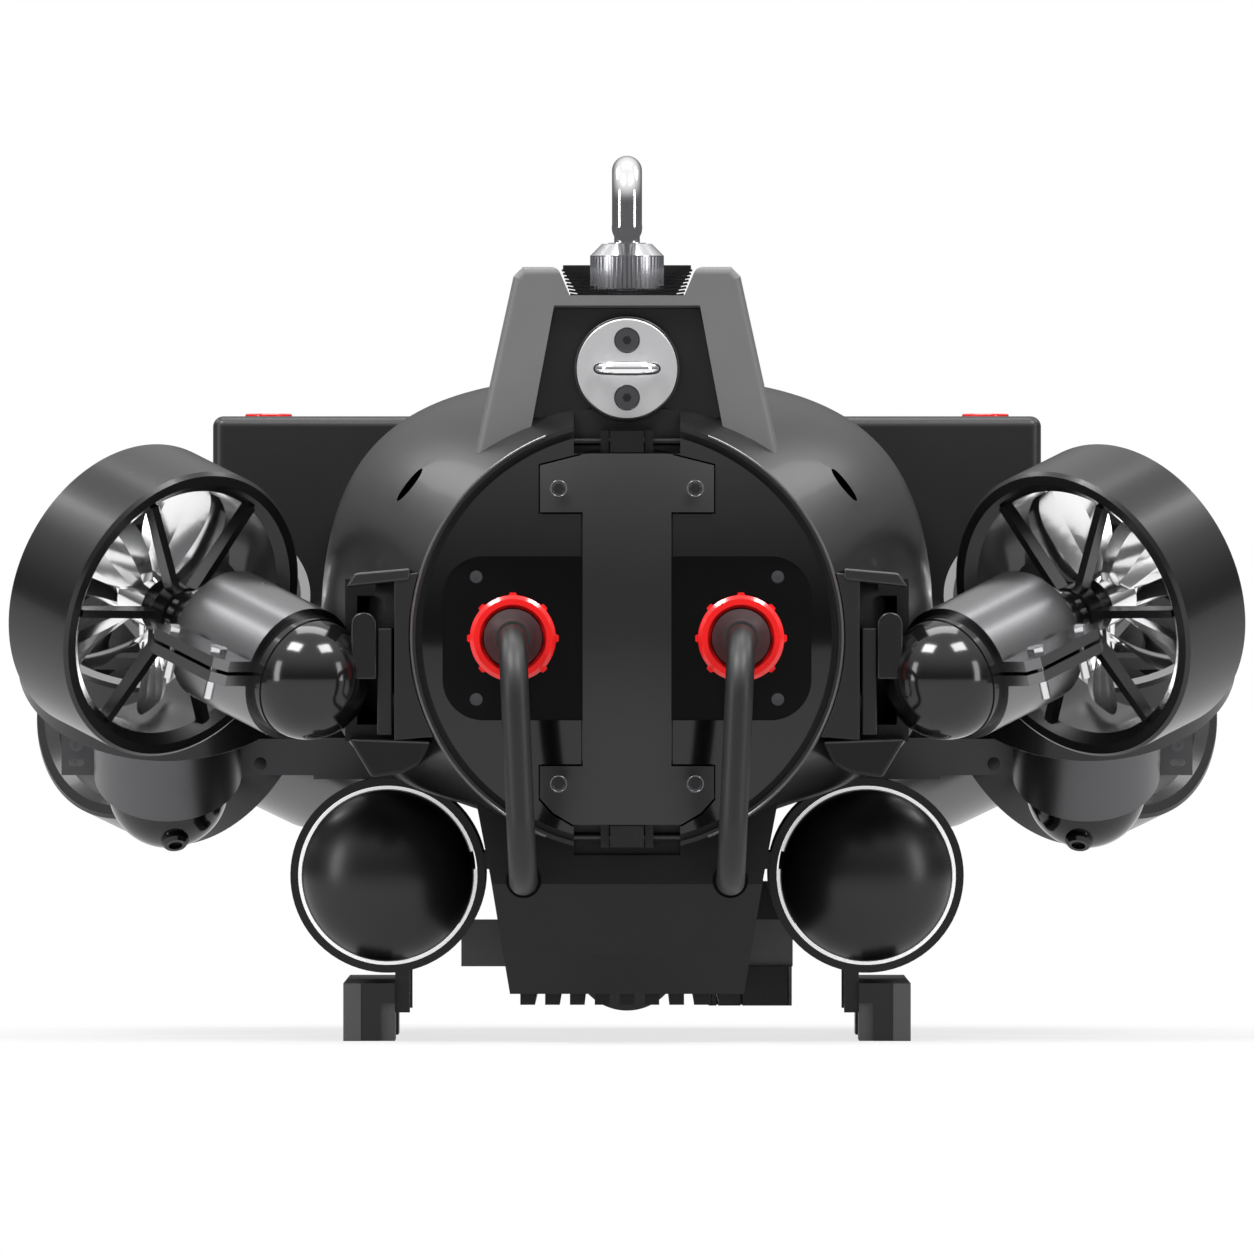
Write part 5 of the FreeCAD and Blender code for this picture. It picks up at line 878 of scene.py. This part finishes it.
def area_lamp(name, place, target, wide, tall, watts):
    """A soft rectangular lamp that faces a point."""
    light = bpy.data.lights.new(name, "AREA")
    light.shape = "RECTANGLE"
    light.size = wide
    light.size_y = tall
    light.energy = watts
    lamp = bpy.data.objects.new(name, light)
    lamp.location = place
    lamp.rotation_euler = (Vector(target) - Vector(place)).to_track_quat("-Z", "Y").to_euler()
    bpy.context.scene.collection.objects.link(lamp)


def studio_world(strength):
    """White to the camera and through glass, a fall of light from zenith to horizon to the rest.

    Mirrored rays see that fall at full strength: white overhead, and dark at the horizon."""
    world = bpy.data.worlds.new("Studio")
    bpy.context.scene.world = world
    world.use_nodes = True
    tree = world.node_tree
    tree.nodes.clear()
    out = tree.nodes.new("ShaderNodeOutputWorld")
    direction = tree.nodes.new("ShaderNodeTexCoord").outputs["Generated"]
    split = tree.nodes.new("ShaderNodeSeparateXYZ")
    tree.links.new(direction, split.inputs[0])
    fall = tree.nodes.new("ShaderNodeValToRGB")
    fall.color_ramp.interpolation = "EASE"
    horizon, zenith = fall.color_ramp.elements
    horizon.position, horizon.color = HORIZON_AT, HORIZON_COLOUR
    zenith.position, zenith.color = ZENITH_AT, WHITE
    raised = math_node(tree, "MULTIPLY", split.outputs[2], 0.5)
    tree.links.new(math_node(tree, "ADD", raised, 0.5), fall.inputs[0])
    path = tree.nodes.new("ShaderNodeLightPath")
    mirrored = tree.nodes.new("ShaderNodeMapRange")
    mirrored.inputs["To Min"].default_value = strength
    mirrored.inputs["To Max"].default_value = 1.0
    tree.links.new(path.outputs["Is Glossy Ray"], mirrored.inputs["Value"])
    soft = tree.nodes.new("ShaderNodeBackground")
    tree.links.new(mirrored.outputs[0], soft.inputs["Strength"])
    tree.links.new(fall.outputs[0], soft.inputs["Color"])
    plain = tree.nodes.new("ShaderNodeBackground")
    plain.inputs["Color"].default_value = WHITE
    seen = math_node(tree, "MAXIMUM", path.outputs["Is Camera Ray"],
                     path.outputs["Is Transmission Ray"])
    choose = tree.nodes.new("ShaderNodeMixShader")
    tree.links.new(seen, choose.inputs[0])
    tree.links.new(soft.outputs[0], choose.inputs[1])
    tree.links.new(plain.outputs[0], choose.inputs[2])
    tree.links.new(choose.outputs[0], out.inputs["Surface"])


def ranged(tree, given, limits):
    """A Map Range node from one pair of limits to another."""
    made = tree.nodes.new("ShaderNodeMapRange")
    for label, number in zip(("From Min", "From Max", "To Min", "To Max"), limits):
        made.inputs[label].default_value = number
    tree.links.new(given, made.inputs["Value"])
    return made.outputs[0]


def pale_floor():
    """A plain pale floor that keeps the shadow near the skids, and is white farther away to the
    camera; its own colour is painted darker farther out, a painted fall-off of light.
    """
    mesh = bpy.data.meshes.new("studio_floor")
    square = ((-1, -1), (1, -1), (1, 1), (-1, 1))
    corners = [(x * FLOOR_HALF, y * FLOOR_HALF, 0.0) for x, y in square]
    mesh.from_pydata(corners, [], [(0, 1, 2, 3)])
    floor = bpy.data.objects.new("studio_floor", mesh)
    bpy.context.scene.collection.objects.link(floor)
    paint = bpy.data.materials.new("Studio Floor")
    paint.use_nodes = True
    tree = paint.node_tree
    shader = tree.nodes["Principled BSDF"]
    shader.inputs["Roughness"].default_value = 0.9
    shader.inputs["Specular IOR Level"].default_value = 0.0
    white = tree.nodes.new("ShaderNodeEmission")
    white.inputs["Color"].default_value = WHITE
    reach = tree.nodes.new("ShaderNodeVectorMath")
    reach.operation = "LENGTH"
    tree.links.new(tree.nodes.new("ShaderNodeTexCoord").outputs["Object"], reach.inputs[0])
    tree.links.new(ranged(tree, reach.outputs["Value"], FLOOR_PAINTED_FALLOFF), shader.inputs["Base Color"])
    path = tree.nodes.new("ShaderNodeLightPath")
    mirrored = math_node(tree, "MULTIPLY", path.outputs["Is Glossy Ray"], FLOOR_MIRRORED)
    direct = math_node(tree, "ADD", mirrored, path.outputs["Is Camera Ray"])
    seen = math_node(tree, "MAXIMUM", direct, path.outputs["Is Transmission Ray"])
    seen = math_node(tree, "MULTIPLY", seen, ranged(tree, reach.outputs["Value"], FLOOR_WHITENS))
    choose = tree.nodes.new("ShaderNodeMixShader")
    tree.links.new(seen, choose.inputs[0])
    tree.links.new(shader.outputs[0], choose.inputs[1])
    tree.links.new(white.outputs[0], choose.inputs[2])
    tree.links.new(choose.outputs[0], tree.nodes["Material Output"].inputs["Surface"])
    mesh.materials.append(paint)


class VEHICLE_OT_stage(bpy.types.Operator):
    """Set up the studio: camera astern, soft lamps, white surround and pale floor."""
    bl_idname = "vehicle.stage"
    bl_label = "Stage"

    def execute(self, context):
        stage = context.scene.vehicle_stage
        scene = context.scene
        scene.view_settings.view_transform = "Standard"
        camera = bpy.data.cameras.new("Camera")
        camera.sensor_width = SENSOR_WIDE
        camera.lens = camera.sensor_width * stage.distance / stage.view_wide
        camera.clip_end = CLIP_END
        holder = bpy.data.objects.new("Camera", camera)
        holder.location = (0.0, THRUSTER_PLANE - stage.distance, stage.view_height)
        holder.rotation_euler = (math.radians(90.0), 0.0, 0.0)
        scene.collection.objects.link(holder)
        scene.camera = holder
        for name, place, wide, tall, watts in STUDIO_LAMPS:
            area_lamp(name, place, AIMED_AT, wide, tall, watts * stage.lamps)
        studio_world(stage.sky)
        pale_floor()
        return {"FINISHED"}


CLASSES = (
    VehicleFinishes, VehicleFinePieces, VehicleStage,
    VEHICLE_OT_finishes, VEHICLE_OT_dress_hull, VEHICLE_OT_dress_thrusters,
    VEHICLE_OT_lamps, VEHICLE_OT_tower_parts, VEHICLE_OT_side_brackets,
    VEHICLE_OT_fine_rings, VEHICLE_OT_stage,
)
STEPS = tuple(one for one in CLASSES if issubclass(one, bpy.types.Operator))


class VEHICLE_PT_panel(bpy.types.Panel):
    """The dresser's steps and settings."""
    bl_idname = "VEHICLE_PT_panel"
    bl_label = "Inspection vehicle"
    bl_space_type = "VIEW_3D"
    bl_region_type = "UI"
    bl_category = "Vehicle"

    def draw(self, context):
        for group in (context.scene.vehicle_finishes, context.scene.vehicle_fine_pieces,
                      context.scene.vehicle_stage):
            for name in group.__annotations__:
                self.layout.prop(group, name)
        for step in STEPS:
            self.layout.operator(step.bl_idname)


def register():
    for one in CLASSES:
        bpy.utils.register_class(one)
    bpy.utils.register_class(VEHICLE_PT_panel)
    bpy.types.Scene.vehicle_finishes = PointerProperty(type=VehicleFinishes)
    bpy.types.Scene.vehicle_fine_pieces = PointerProperty(type=VehicleFinePieces)
    bpy.types.Scene.vehicle_stage = PointerProperty(type=VehicleStage)


def unregister():
    del bpy.types.Scene.vehicle_stage
    del bpy.types.Scene.vehicle_fine_pieces
    del bpy.types.Scene.vehicle_finishes
    bpy.utils.unregister_class(VEHICLE_PT_panel)
    for one in reversed(CLASSES):
        bpy.utils.unregister_class(one)


def main():
    """Register the dresser, and run its steps in order."""
    register()
    for step in STEPS:
        group, name = step.bl_idname.split(".")
        getattr(getattr(bpy.ops, group), name)()


if __name__ == "__main__":
    main()
